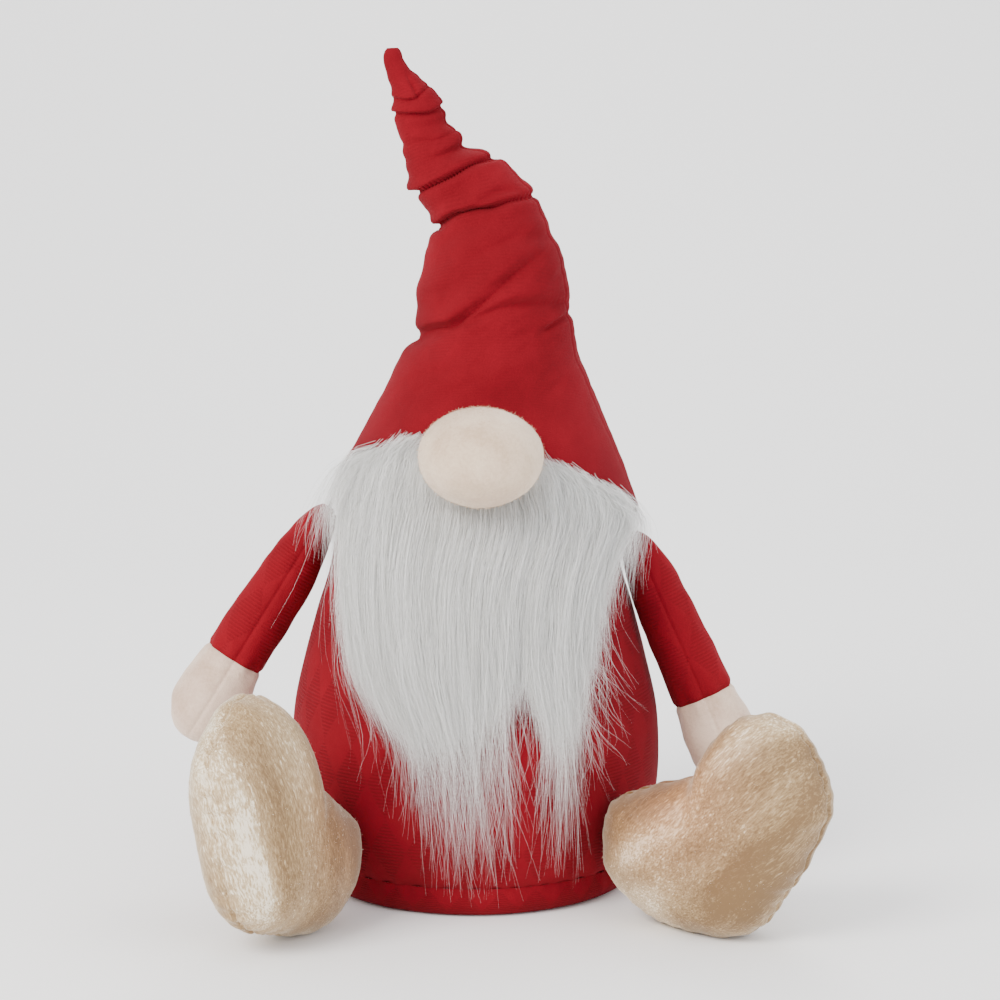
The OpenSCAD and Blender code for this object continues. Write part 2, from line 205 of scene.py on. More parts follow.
# ---- Body ----
# The body is a bag of red jersey with a tonal diamond pattern, a front and a back panel sewn to a round
# base panel that turns under. Stuffing rounds it out, and a bag of pellets in it presses the base flat.
def curve_through(points, count):
    """A smooth curve through the points, count points long: each stretch is a Catmull-Rom cubic."""
    points = np.asarray(points, float)
    padded_ends = np.vstack([2 * points[0] - points[1], points, 2 * points[-1] - points[-2]])
    place = np.linspace(0, len(points) - 1, count)
    start = np.minimum(place.astype(int), len(points) - 2)
    t = (place - start)[:, None]
    a, b, c, d = (padded_ends[start + k] for k in range(4))
    return 0.5 * (2 * b + (c - a) * t + (2 * a - 5 * b + 4 * c - d) * t ** 2
                  + (3 * b - a - 3 * c + d) * t ** 3)


def even_steps(points, count):
    """The same curve with count points at even distances along it."""
    length = np.concatenate([[0], np.cumsum(np.linalg.norm(np.diff(points, axis=0), axis=1))])
    place = np.linspace(0, length[-1], count)
    return np.stack([np.interp(place, length, points[:, k]) for k in range(points.shape[1])], 1)


def soft_noise(points, size, seed, octaves=2):
    """Smooth noise from -1 to 1 at each point: sums of sine waves that run in seeded directions, with
    waves about size long, and half as long and half as high for each further octave."""
    dice = np.random.default_rng(seed)
    total = np.zeros(points.shape[:-1])
    for octave in range(octaves):
        directions = dice.normal(size=(7, 3))
        directions /= np.linalg.norm(directions, axis=1)[:, None]
        phase = dice.uniform(0, 2 * np.pi, 7)
        waves = points @ directions.T * (2 * np.pi * 2 ** octave / size) + phase
        total += np.sin(waves).sum(-1) / 7 * 1.6 / 2 ** octave
    return np.clip(total, -1, 1)


def grid_normals(grid, wrap):
    """Unit normals of a grid: across its columns crossed with along its rows."""
    if wrap:
        across = np.roll(grid, -1, 1) - np.roll(grid, 1, 1)
    else:
        across = np.gradient(grid, axis=1)
    along = np.gradient(grid, axis=0)
    normal = np.cross(across, along)
    return normal / np.maximum(np.linalg.norm(normal, axis=-1, keepdims=True), 1e-12)


def closed_skin(name, grid, materials, low=None, high=None, uv=None, normals=None):
    """A tube-like grid (rows by columns by xyz, columns wrapping) as one mesh, closed at its first row by
    a fan to the point low and at its last by one to high. uv is a pair of rows by columns by 2 arrays:
    each quad's UVs at the column where it starts, and at the one where it ends."""
    rows, columns = grid.shape[:2]
    vertices = np.ascontiguousarray(grid.reshape(-1, 3))
    quads, row, column = grid_quads(rows, columns, True)
    fans = []
    for end, pole in ((0, low), (rows - 1, high)):
        if pole is not None:
            ring = end * columns + np.arange(columns)
            after = end * columns + (np.arange(columns) + 1) % columns
            pole_index = np.full(columns, len(vertices))
            vertices = np.vstack([vertices, pole])
            fans.append(np.stack([after, ring, pole_index] if end == 0 else [ring, after, pole_index], 1))
    triangles = np.vstack(fans) if fans else np.zeros((0, 3), int)
    mesh = bpy.data.meshes.new(name)
    sizes = np.concatenate([np.full(len(quads), 4), np.full(len(triangles), 3)])
    mesh.vertices.add(len(vertices))
    mesh.vertices.foreach_set("co", vertices.astype(np.float32).ravel())
    loops = np.concatenate([quads.ravel(), triangles.ravel()])
    mesh.loops.add(len(loops))
    mesh.loops.foreach_set("vertex_index", loops.astype(np.int32))
    mesh.polygons.add(len(sizes))
    mesh.polygons.foreach_set("loop_start", (np.cumsum(sizes) - sizes).astype(np.int32))
    if uv is not None:
        starts, ends = uv
        corner_uv = np.stack([starts[row, column], ends[row, column], ends[row + 1, column],
                              starts[row + 1, column]], 1).reshape(-1, 2)
        vertex_uv = np.vstack([starts.reshape(-1, 2), np.zeros((len(vertices) - rows * columns, 2))])
        for fan in fans:
            pole_uv = vertex_uv[fan[:, 0]].mean(0)
            vertex_uv[fan[0, 2]] = pole_uv
        corner_uv = np.vstack([corner_uv, vertex_uv[triangles.ravel()]])
        layer = mesh.uv_layers.new(name="UVMap")
        layer.data.foreach_set("uv", corner_uv.astype(np.float32).ravel())
    mesh.update(calc_edges=True)
    mesh.shade_smooth()
    if normals is not None:
        mesh.normals_split_custom_set_from_vertices(normals.astype(np.float32))
    for material in materials:
        mesh.materials.append(material)
    piece = bpy.data.objects.new(name, mesh)
    bpy.context.scene.collection.objects.link(piece)
    return piece


def settle(grid, rest, held, low=None, high=None, pressure=2.0, frames=14, cap=10 * MM, stiff=12.0,
           bending=0.4):
    """Runs a cloth simulation on a closed grid and returns the settled grid. grid is where the cloth
    starts and rest is its cut size, so where rest is longer than grid the cloth buckles into wrinkles.
    held is each point's hold, from 0 free to 1 fixed, and cap is the furthest that a point may move."""
    piece = closed_skin("settling cloth", grid, [], low, high)
    count = grid.shape[0] * grid.shape[1]
    piece.shape_key_add(name="Basis")
    key = piece.shape_key_add(name="cut size")
    cut = np.empty((len(piece.data.vertices), 3), np.float32)
    piece.data.vertices.foreach_get("co", cut.ravel())
    cut[:count] = rest.reshape(-1, 3)
    key.data.foreach_set("co", cut.ravel())
    group = piece.vertex_groups.new(name="held")
    weights = np.concatenate([held.ravel(), np.full(len(cut) - count, 1.0)])
    for level in np.unique(np.round(weights, 2)):
        if level > 0:
            group.add(np.nonzero(np.round(weights, 2) == level)[0].tolist(), float(level), "REPLACE")
    cloth = piece.modifiers.new("cloth", "CLOTH")
    cloth.settings.vertex_group_mass = "held"
    cloth.settings.rest_shape_key = key
    cloth.settings.quality = 6
    cloth.settings.mass = 0.3
    cloth.settings.tension_stiffness = stiff
    cloth.settings.compression_stiffness = stiff
    cloth.settings.shear_stiffness = stiff * 0.5
    cloth.settings.bending_stiffness = bending
    cloth.settings.use_pressure = True
    cloth.settings.uniform_pressure_force = pressure
    cloth.settings.effector_weights.gravity = 0.0
    cloth.settings.air_damping = 2.0
    cloth.point_cache.frame_start = 1
    cloth.point_cache.frame_end = frames
    scene = bpy.context.scene
    for step in range(1, frames + 1):
        scene.frame_set(step)
    settled = piece.evaluated_get(bpy.context.evaluated_depsgraph_get()).to_mesh()
    moved = np.empty((len(cut), 3), np.float32)
    settled.vertices.foreach_get("co", moved.ravel())
    bpy.data.objects.remove(piece)
    scene.frame_set(1)
    shift = moved[:count].reshape(grid.shape) - grid
    size = np.linalg.norm(shift, axis=-1, keepdims=True)
    return grid + shift * np.minimum(1, cap / np.maximum(size, 1e-9))


def finer(grid, wrap=True):
    """The grid with a point added between each two both ways, on a cubic through the four nearest."""
    def double(values, wraps):
        if wraps:
            before, after, beyond = np.roll(values, 1, 0), np.roll(values, -1, 0), np.roll(values, -2, 0)
        else:
            before = np.vstack([2 * values[:1] - values[1:2], values[:-1]])
            after = np.vstack([values[1:], 2 * values[-1:] - values[-2:-1]])
            beyond = np.vstack([after[1:], 2 * after[-1:] - after[-2:-1]])
        between = (9 * (values + after) - before - beyond) / 16
        out = np.stack([values, between], 1).reshape(-1, *values.shape[1:])
        return out if wraps else out[:-1]
    return double(double(grid, False).swapaxes(0, 1), wrap).swapaxes(0, 1)


def jersey(name, light, dark, groove_shade_colour, ribs=0.5, groove_shade=0.6, diamond=(27.0, 49.0)):
    """Tonal diamond jersey: cotton knit on a machine, matt with a short fuzz. Every second diamond shows ribs 2.5
    mm apart, and the rest is plain knit; ribs is how high they stand. The third colour is painted shade, laid
    into the rib grooves up to the share given after ribs. UVs are in millimetres."""
    material, tree = new_material(name)
    place = node(tree, "ShaderNodeTexCoord").outputs["UV"]
    parts = node(tree, "ShaderNodeSeparateXYZ", {"Vector": place})
    wide = maths(tree, "DIVIDE", parts.outputs["X"], diamond[0])
    tall = maths(tree, "DIVIDE", parts.outputs["Y"], diamond[1])
    rising = maths(tree, "ADD", wide, tall)
    falling = maths(tree, "SUBTRACT", wide, tall)
    stripes = []
    for slope in (rising, falling):
        wave = maths(tree, "MULTIPLY", slope, math.pi)
        stripes.append(maths(tree, "SINE", wave))
    product = maths(tree, "MULTIPLY", stripes[0], stripes[1])
    ribbed = ranged(tree, product, low=-0.03, high=0.03)
    rib_wave = maths(tree, "MULTIPLY", parts.outputs["Y"], 2 * math.pi / 2.5)
    rib = maths(tree, "SINE", rib_wave)
    rib_height = maths(tree, "MULTIPLY", rib, ribbed)
    # Knit loops of 0.9 mm are near the finest that shows, so they are drawn at 1.2 mm
    loops = node(tree, "ShaderNodeTexVoronoi", {"Vector": place, "Scale": 1 / 1.2}, feature="SMOOTH_F1")
    solid = node(tree, "ShaderNodeTexCoord").outputs["Object"]
    fuzz = node(tree, "ShaderNodeTexNoise", {"Vector": solid, "Scale": 1100.0, "Detail": 3.0}).outputs["Fac"]
    large_patches = node(tree, "ShaderNodeTexNoise", {"Vector": solid, "Scale": 17.0, "Detail": 4.0}).outputs["Fac"]
    height = maths(tree, "MULTIPLY_ADD", rib_height, ribs, fuzz)
    height = maths(tree, "MULTIPLY_ADD", loops.outputs["Distance"], 0.25, height)
    # The colour shifts between the light and the dark tone in large random patches.
    patch_share = ranged(tree, large_patches, low=0.3, high=0.7)
    ground = node(tree, "ShaderNodeMix", {"Factor": patch_share}, data_type="RGBA")
    # Mix has a socket of each data type, so its colour sockets are set by index
    ground.inputs[6].default_value = linear(dark)
    ground.inputs[7].default_value = linear(light)
    # Painted shade: the grooves between the ribs are darkened towards the third colour, most at the bottom of
    # each groove.
    groove = ranged(tree, rib_height, low=-1.0, high=1.0, to_low=groove_shade, to_high=0.0)
    groove = maths(tree, "MULTIPLY", groove, ribbed)
    ribbing_with_shade = node(tree, "ShaderNodeMix", {"Factor": groove}, data_type="RGBA")
    tree.links.new(ground.outputs[2], ribbing_with_shade.inputs[6])
    ribbing_with_shade.inputs[7].default_value = linear(groove_shade_colour)
    speck = ranged(tree, fuzz, low=0.35, high=0.75, to_low=0.93, to_high=1.10)
    colour = node(tree, "ShaderNodeHueSaturation", {"Color": ribbing_with_shade.outputs[2], "Value": speck})
    shader = node(tree, "ShaderNodeBsdfPrincipled", {
        "Base Color": colour.outputs[0], "Roughness": 0.95, "Specular IOR Level": 0.08,
        "Sheen Weight": 0.06, "Sheen Roughness": 0.5, "Sheen Tint": linear("#ff7a84")})
    finish_material(tree, shader, height, 0.8, 0.35 * MM)
    return material


body_jersey = jersey("tonal diamond jersey", "#7c101c", "#680b15", "#51080f", ribs=0.45, groove_shade=0.42)
BASE_FLAT, SEAM_R, SEAM_Z, BODY_TOP = 108.0, 121.0, 21.0, 328.0
AROUND = 240
turn = np.linspace(0, 2 * np.pi, AROUND, endpoint=False)
body_side = even_steps(curve_through([
    (SEAM_R, SEAM_Z), (128, 40), (133.5, 65), (135, 90), (132, 125), (123.5, 163), (114.5, 195),
    (105, 225), (97, 260), (82, 292), (58, 316), (30, 325), (6, BODY_TOP - 1)], 400), 150)


def body_round(side, lumps=2.2):
    """The side turned about the vertical, with soft lumps of stuffing and gathers above the base seam."""
    grid = np.stack([side[:, :1] * np.cos(turn), side[:, :1] * np.sin(turn),
                     np.broadcast_to(side[:, 1:], (len(side), AROUND))], -1)
    away = grid / np.maximum(np.linalg.norm(grid[..., :2], axis=-1, keepdims=True), 1e-9) * [1, 1, 0]
    height = side[:, 1:]
    bulge = lumps * soft_noise(grid * [1, 1, 0.8], 150.0, 3) * np.clip((height - 25) / 50, 0, 1)
    gathers = 0.9 * np.sin(turn * 47 + 3 * np.sin(turn * 5)) * np.exp(-(height - SEAM_Z) / 9)
    tucks = -2.4 * np.exp(-((height - SEAM_Z) / 2.6) ** 2)
    side_seam = -1.6 * np.exp(-(np.sin(turn) * side[:, :1] / 2.2) ** 2)
    return (grid + away * (bulge + gathers + tucks + side_seam)[..., None]) * MM


body_grid = body_round(body_side)
hold = np.broadcast_to(np.clip(1 - (body_side[:, 1:] - SEAM_Z) / 12, 0, 1), body_grid.shape[:2]) \
    + (body_side[:, 1:] > 300)
cut_grid = body_grid.copy()
cut_grid[..., 2] *= 1.02
cut_grid[..., :2] *= 1.015
body_grid = settle(body_grid, cut_grid, np.clip(hold, 0, 1), high=[0, 0, BODY_TOP * MM],
                   pressure=1.5, frames=12, cap=3.5 * MM)


def wrapped_uv(round_mm, height_mm):
    """UVs in millimetres: round_mm at each of the columns and once more, by height_mm at each row."""
    both = np.stack(np.broadcast_arrays(round_mm[None, :], height_mm[:, None]), -1)
    return both[:, :-1], both[:, 1:]


# Thirty whole diamonds go round the body, so that the pattern meets itself at the back
uv_round = np.linspace(0, 30 * 27.0, AROUND + 1)
body_uv = wrapped_uv(uv_round + 7.0, body_side[:, 1] * 1.03)
body_cover = closed_skin("body_cover", body_grid, [body_jersey], high=[0, 0, BODY_TOP * MM], uv=body_uv)
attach(body_cover, "body")
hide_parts("body_front_panel", "body_back_panel", "body_stuffing")

under_side = np.vstack([[(6.0, 0.0), (50, 0.0), (90, 0.0)], curve_through([
    (BASE_FLAT - 4, 0.0), (BASE_FLAT + 4, 0.7), (117.0, 4.5), (120.0, 11.5), (SEAM_R - 1.4, SEAM_Z + 0.6)], 26)])
under_grid = np.stack([under_side[:, :1] * np.cos(turn), under_side[:, :1] * np.sin(turn),
                       np.broadcast_to(under_side[:, 1:], (len(under_side), AROUND))], -1)
puckers = 0.7 * np.sin(turn * 61 + 2 * np.sin(turn * 7)) * np.clip(under_side[:, 1:] / SEAM_Z, 0, 1) ** 2
under_grid[..., :2] *= (1 + puckers / 120)[..., None]
base_cover = closed_skin("base_cover", under_grid * MM, [body_jersey], low=[0, 0, 0],
                         uv=wrapped_uv(uv_round + 7.0, under_side[:, 1] * 1.6 - 8))
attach(base_cover, "body")
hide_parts("base_panel")


def stitches(name, path, outward, material, pitch, length, thick):
    """A row of thread stitches along a path of points: each is a low oval dash, length long and thick
    wide, that dips into the cloth at both ends, laid on the path with outward as its upper side."""
    path = np.asarray(path, float)
    gone = np.concatenate([[0], np.cumsum(np.linalg.norm(np.diff(path, axis=0), axis=1))])
    count = int(gone[-1] / pitch)
    centre = (np.arange(count) + 0.5) * pitch
    at = np.stack([np.interp(centre, gone, path[:, k]) for k in range(3)], 1)
    up = np.stack([np.interp(centre, gone, outward[:, k]) for k in range(3)], 1)
    up /= np.linalg.norm(up, axis=1, keepdims=True)
    ahead = np.stack([np.interp(centre + 0.01 * pitch, gone, path[:, k]) for k in range(3)], 1) - at
    ahead /= np.maximum(np.linalg.norm(ahead, axis=1, keepdims=True), 1e-12)
    across = np.cross(up, ahead)
    along = np.linspace(-1, 1, 5)
    girth = np.sqrt(1 - 0.86 * along ** 2)
    angle = np.linspace(0, 2 * np.pi, 6, endpoint=False)
    local = np.stack([np.broadcast_to(along[:, None] * length / 2, (5, 6)),
                      girth[:, None] * np.cos(angle) * thick / 2,
                      girth[:, None] * np.sin(angle) * thick / 2 - (along[:, None] ** 4) * thick * 0.7], -1)
    basis = np.stack([ahead, across, up], 1)
    points = at[:, None, None, :] + np.einsum("rcl,nlk->nrck", local, basis)
    quads = grid_quads(5, 6, True)[0]
    faces = (quads[None] + (np.arange(count) * 30)[:, None, None]).reshape(-1, 4)
    caps = np.array([[3, 2, 1, 0], [5, 4, 3, 0], [24, 25, 26, 27], [24, 27, 28, 29]])
    faces = np.vstack([faces, (caps[None] + (np.arange(count) * 30)[:, None, None]).reshape(-1, 4)])
    return new_piece(name, points.reshape(-1, 3), faces, [material])


def thread_material(name, colour):
    """Polyester sewing thread: two plies twisted together, with a low shine."""
    material, tree = new_material(name)
    solid = node(tree, "ShaderNodeTexCoord").outputs["Object"]
    twist = node(tree, "ShaderNodeTexWave", {"Vector": solid, "Scale": 900.0, "Distortion": 2.0},
                 bands_direction="DIAGONAL")
    shader = node(tree, "ShaderNodeBsdfPrincipled", {
        "Base Color": linear(colour), "Roughness": 0.6, "Specular IOR Level": 0.2, "Sheen Weight": 0.04})
    finish_material(tree, shader, twist.outputs["Fac"], 0.4, 0.1 * MM)
    return material


dark_thread = thread_material("dark red polyester thread", "#4a0c10")
seam_turn = np.linspace(0, 2 * np.pi, 721)
seam_r_here = SEAM_R - 2.2
seam_path = np.stack([seam_r_here * np.cos(seam_turn), seam_r_here * np.sin(seam_turn),
                      SEAM_Z + 0.2 + 0 * seam_turn], 1) * MM
base_stitches = stitches("base_seam_stitches", seam_path,
                         np.stack([np.cos(seam_turn), np.sin(seam_turn), 0 * seam_turn], 1),
                         dark_thread, 3.4 * MM, 2.8 * MM, 0.8 * MM)
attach(base_stitches, "body")
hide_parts("base_seam_thread")


# ---- Hat ----
# The hat is a long cone of the same red cloth, cut as a front and a back panel, stuffed and wired. It is
# crumpled, so that its weight sits in slanting folds, and its thin tip leans over to one side.
# Each row is one ring: its left and right ends as x and z, then its middle's y, its half depth and its
# fall to the back, from the brim up to the tip
HAT_RINGS = [
    (-94, 301, 118, 268, 6, 106, -0.36), (-86, 315, 108, 297, 4, 97, -0.26),
    (-77.5, 331, 97.5, 324, 3, 88, -0.16), (-65, 355, 84.5, 355, 2, 76, -0.05), (-55, 376, 75, 380, 0, 67, 0),
    (-41, 395, 69.5, 397, 0, 59, 0.03), (-40, 408, 68, 406, 0, 57, 0.05), (-40.5, 424, 67.5, 423, 0, 56, 0.04),
    (-36, 444, 62.5, 445, 0, 51, 0), (-33, 456, 57, 461, 1, 47, 0), (-30, 466, 51.5, 476, 2, 43, 0.02),
    (-26, 475, 44.5, 490, 2, 38, 0.05), (-34, 485, 36.5, 501, 1, 35, 0.05), (-42, 495, 23, 516, 0, 30, 0.03),
    (-45, 503, 12, 523, 0, 26, 0), (-49, 517, -7, 527, 0, 20.5, 0), (-52, 529, -10, 538, 0, 19, 0),
    (-55, 540, -18.5, 545, 0, 16.5, 0), (-55.5, 551, -21, 556, 0, 16, 0), (-55.5, 559, -27, 565, 0, 13.5, 0),
    (-58.5, 567, -36, 573, 0, 11, 0), (-62.5, 578, -45, 582, 0, 8.5, 0), (-63.8, 586, -49, 588, 0, 7, 0),
    (-62.6, 591.5, -51, 592.6, 0, 5.4, 0), (-60.2, 594.6, -54, 595, 0, 3, 0)]
HAT_END = (-57.2, 0.0, 595.6)
# Slanting folds as x and z seen from the front: each has its points, its depth, its width and the height
# of the roll of cloth that hangs over it
FRONT_FOLDS = [
    ([(-46, 392), (-30, 401), (-15, 407), (-4, 416), (16, 432), (42, 452)], 6.5, 4.2, 3.6),
    ([(-8, 405), (6, 413), (21, 419), (40, 421), (68, 419)], 4.5, 5.0, 2.8),
    ([(48, 401), (57, 406), (72, 412)], 3.2, 2.6, 1.6),
    ([(0, 452), (14, 460), (32, 467), (52, 464)], 1.5, 5.0, 1.6),
    ([(-32, 470), (-22, 477), (-12, 483), (0, 486), (13, 488), (27, 492), (46, 495)], 6.5, 2.8, 3.8),
    ([(-3, 487), (7, 494), (20, 498.5), (32, 498)], 2.6, 2.4, 1.6),
    ([(-50, 494), (-42, 497), (-20, 507), (2, 518), (20, 523)], 6.0, 2.4, 3.6),
    ([(-30, 519), (-20, 523), (-6, 529)], 1.6, 2.6, 1.2), ([(-44, 531), (-26, 533), (-10, 540)], 2.2, 2.6, 1.4),
    ([(-60, 550), (-45, 550.5), (-31, 551.5), (-18, 557)], 3.6, 2.0, 2.2),
    ([(-58, 561), (-46, 560), (-38, 564), (-30, 572)], 2.6, 1.6, 1.6),
    ([(-38, 560), (-42, 568), (-47, 577)], 1.6, 1.4, 1.0)]
BACK_FOLDS = [
    ([(-46, 392), (-20, 388), (10, 396), (40, 404), (72, 412)], 5.0, 5.0, 2.6),
    ([(-40, 420), (-10, 430), (24, 426), (60, 440)], 2.6, 5.0, 2.0),
    ([(-32, 470), (-10, 470), (14, 480), (46, 495)], 5.0, 3.4, 3.0),
    ([(-50, 494), (-20, 500), (20, 523)], 4.6, 3.0, 2.8),
    ([(-52, 530), (-30, 528), (-10, 540)], 2.4, 2.4, 1.4), ([(-60, 550), (-40, 554), (-18, 557)], 3.4, 2.0, 2.0)]
HAT_ROWS, HAT_COLUMNS = 136, 120
hat_turn = np.linspace(0, 2 * np.pi, HAT_COLUMNS, endpoint=False)


def hat_surface(rings):
    """Each ring is an oval: half its ends' distance wide and its own depth deep, sloped so that it passes
    through both of its ends, and falling to the back by its last number times the depth."""
    left, right = rings[:, 0:2], rings[:, 2:4]
    middle, reach = (left + right) / 2, (right - left) / 2
    cosine, sine = np.cos(hat_turn), np.sin(hat_turn)
    deep = rings[:, 5:6] * sine
    return np.stack([middle[:, :1] + reach[:, :1] * cosine, rings[:, 4:5] + deep,
                     middle[:, 1:] + reach[:, 1:] * cosine + rings[:, 6:7] * deep], -1)


def fold_in(grid, folds, facing):
    """Presses folds into a side of the hat: a point moves in by the depth, less with its distance from
    the fold's line, and just above the line it moves out by the roll. Folds fade out at their ends."""
    normal = grid_normals(grid, True)
    mask = np.clip((normal[..., 1] * facing + 0.42) / 0.5, 0, 1)
    move, drop = np.zeros(grid.shape[:2]), np.zeros(grid.shape[:2])
    for line, depth, width, roll in folds:
        line = curve_through(line, 40)
        gap = grid[..., None, [0, 2]] - line
        distance = np.linalg.norm(gap, axis=-1)
        nearest = distance.argmin(-1)
        ahead = np.gradient(line, axis=0)[nearest]
        offset = np.take_along_axis(gap, nearest[..., None, None].repeat(2, -1), 2)[..., 0, :]
        above = np.sign(ahead[..., 0] * offset[..., 1] - ahead[..., 1] * offset[..., 0])
        close = distance.min(-1)
        fade = np.sin(np.pi * np.clip((nearest + 1.5) / 42, 0, 1)) ** 0.5
        press = -depth * np.exp(-(close / width) ** 1.3)
        over = roll * np.exp(-((above * close - 1.7 * width) / (1.3 * width)) ** 2)
        under = 0.35 * roll * np.exp(-((above * close + 2.4 * width) / (1.6 * width)) ** 2)
        move += (press + over + under) * fade
        drop += 0.9 * over * fade
    return grid + normal * (move * mask)[..., None] - np.array([0, 0, 1.0]) * (drop * mask)[..., None]


ring_curve = curve_through(HAT_RINGS, 700)
steps_along = np.linalg.norm(np.diff(ring_curve[:, [0, 1, 2, 3]], axis=0), axis=1)
along_mm = np.concatenate([[0], np.cumsum(steps_along)]) / math.sqrt(2)
row_mm = np.linspace(0, along_mm[-1], HAT_ROWS)
hat_rows = np.stack([np.interp(row_mm, along_mm, ring_curve[:, k]) for k in range(7)], 1)
hat_grid = hat_surface(hat_rows)
hat_out = grid_normals(hat_grid, True)
creep = soft_noise(hat_grid * [0.55, 0.55, 1.3] + hat_grid[..., :1] * [0, 0, -0.55], 46.0, 11, 3)
slack = np.clip((hat_grid[..., 2] - 320) / 80, 0.25, 1)
hat_grid = hat_grid + hat_out * (1.6 * creep * slack)[..., None]
mean_reach = np.linalg.norm(hat_grid - hat_grid.mean(1, keepdims=True), axis=-1).mean(1)
hat_cut = np.stack([mean_reach[:, None] * 1.03 * np.cos(hat_turn), mean_reach[:, None] * 1.03 * np.sin(hat_turn),
                    np.broadcast_to(row_mm[:, None] * 1.07, (HAT_ROWS, HAT_COLUMNS))], -1)
hat_hold = np.full((HAT_ROWS, HAT_COLUMNS), 0.22)
hat_hold[:6] = 1.0
hat_hold[-3:] = 1.0
hat_grid = settle(hat_grid * MM, hat_cut * MM, hat_hold, high=np.array(HAT_END) * MM, pressure=2.0,
                  frames=16, cap=3.0 * MM, stiff=9.0, bending=0.25) / MM
hat_grid = finer(hat_grid)
hat_grid = fold_in(fold_in(hat_grid, FRONT_FOLDS, -1.0), BACK_FOLDS, 1.0)
SEAM_DEGREES = 17
past_seam = (np.arange(2 * HAT_COLUMNS) * 180 / HAT_COLUMNS + SEAM_DEGREES) % 180
seam_gap = np.radians(np.minimum(past_seam, 180 - past_seam)) * np.linalg.norm(
    hat_grid - hat_grid.mean(1, keepdims=True), axis=-1)
hat_grid = hat_grid - grid_normals(hat_grid, True) * (0.9 * np.exp(-(seam_gap / 1.3) ** 2))[..., None]

# The brim's edge turns in and up, where it is sewn to the body
hem_steps = np.array([(-16.0, 13.0), (-9.0, 5.0), (-3.4, 0.6), (-1.0, -0.9)])
brim_ring = hat_grid[0]
outward = brim_ring - brim_ring.mean(0)
outward /= np.linalg.norm(outward, axis=1, keepdims=True)
hem = brim_ring[None] + outward[None] * hem_steps[:, :1, None] + np.array([0, 0, 1.0]) * hem_steps[:, 1:, None]
hat_grid = np.concatenate([hem, hat_grid])
hat_rows_count = len(hat_grid)
fine_mm = np.concatenate([[-12, -7, -3, -1], np.linspace(0, along_mm[-1], hat_rows_count - 4)])
hat_normals = grid_normals(hat_grid, True)

# Each panel's pattern is that of a flat cut cone: distance from the tip, by angle about it
fine_turn = np.linspace(0, 2 * np.pi, 2 * HAT_COLUMNS + 1)
reach_mm = np.linalg.norm(hat_grid - hat_grid.mean(1, keepdims=True), axis=-1).mean(1)
to_tip = along_mm[-1] - fine_mm + 14


def panel_uv(angle, middle):
    """Flat cut-cone coordinates in millimetres for columns at these angles of the panel round middle."""
    swing = ((angle - middle + np.pi) % (2 * np.pi) - np.pi)[None, :] * (reach_mm / to_tip)[:, None]
    return np.stack([to_tip[:, None] * np.sin(swing), -to_tip[:, None] * np.cos(swing)], -1)


half_step = np.pi / (2 * HAT_COLUMNS)
in_front = ((fine_turn[:-1] + half_step + np.radians(SEAM_DEGREES)) % (2 * np.pi)) > np.pi
front_start, front_end = panel_uv(fine_turn[:-1], 1.5 * np.pi), panel_uv(fine_turn[1:], 1.5 * np.pi)
back_start, back_end = panel_uv(fine_turn[:-1], 0.5 * np.pi), panel_uv(fine_turn[1:], 0.5 * np.pi)
hat_uv = (np.where(in_front[None, :, None], front_start, back_start),
          np.where(in_front[None, :, None], front_end, back_end))

hat_cloth = jersey("smooth-faced red cotton jersey", "#770f1b", "#650b15", "#4f0810", ribs=0.05, groove_shade=0.14)
FOLD_A, FOLD_B, FOLD_C = (np.array(j["pos_m"]) for j in frame["joints"] if j["name"].startswith("hat_"))


def hat_piece(name, first, last, bodies, start, end, *nodes, high=None):
    """One stretch of the hat, across the fold in its middle: its rows from first to last as one closed skin, with
    these model parts hidden.
    """
    rows = slice(first, last + 1)
    normals = hat_normals[rows].reshape(-1, 3)
    if high is not None:
        normals = np.vstack([normals, [-0.5, 0, 0.87]])
    piece = closed_skin(name, hat_grid[rows] * MM, [hat_cloth], high=high,
                        uv=(hat_uv[0][rows], hat_uv[1][rows]), normals=normals)
    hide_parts(*nodes)
    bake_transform(piece)
    return piece


mid_z = hat_grid[..., 2].mean(1)
split_low = int(np.argmin(np.abs(mid_z - 440)))
split_high = int(np.argmin(np.abs(mid_z - 520)))
upright = np.array([0, 0, 1.0])
lean = np.array([-0.48, 0, 0.65]) / np.linalg.norm([0.48, 0.65])
hat_piece("hat_lower_cover", 0, split_low, ("body", "hat_middle"), FOLD_A - 0.030 * upright,
          FOLD_A + 0.028 * upright, "hat_lower_front_panel", "hat_lower_back_panel", "hat_lower_stuffing",
          "hat_middle_stuffing")
hat_piece("hat_middle_cover", split_low, split_high, ("hat_middle", "hat_upper"), FOLD_B - 0.022 * upright,
          FOLD_B + 0.022 * lean, "hat_middle_front_panel", "hat_middle_back_panel", "hat_upper_stuffing")
hat_piece("hat_tip_cover_cloth", split_high, hat_rows_count - 1, ("hat_upper", "hat_tip"), FOLD_C - 0.010 * lean,
          FOLD_C + 0.012 * lean, "hat_upper_front_panel", "hat_upper_back_panel", "hat_tip_cover",
          "hat_tip_stuffing", high=np.array(HAT_END) * MM)


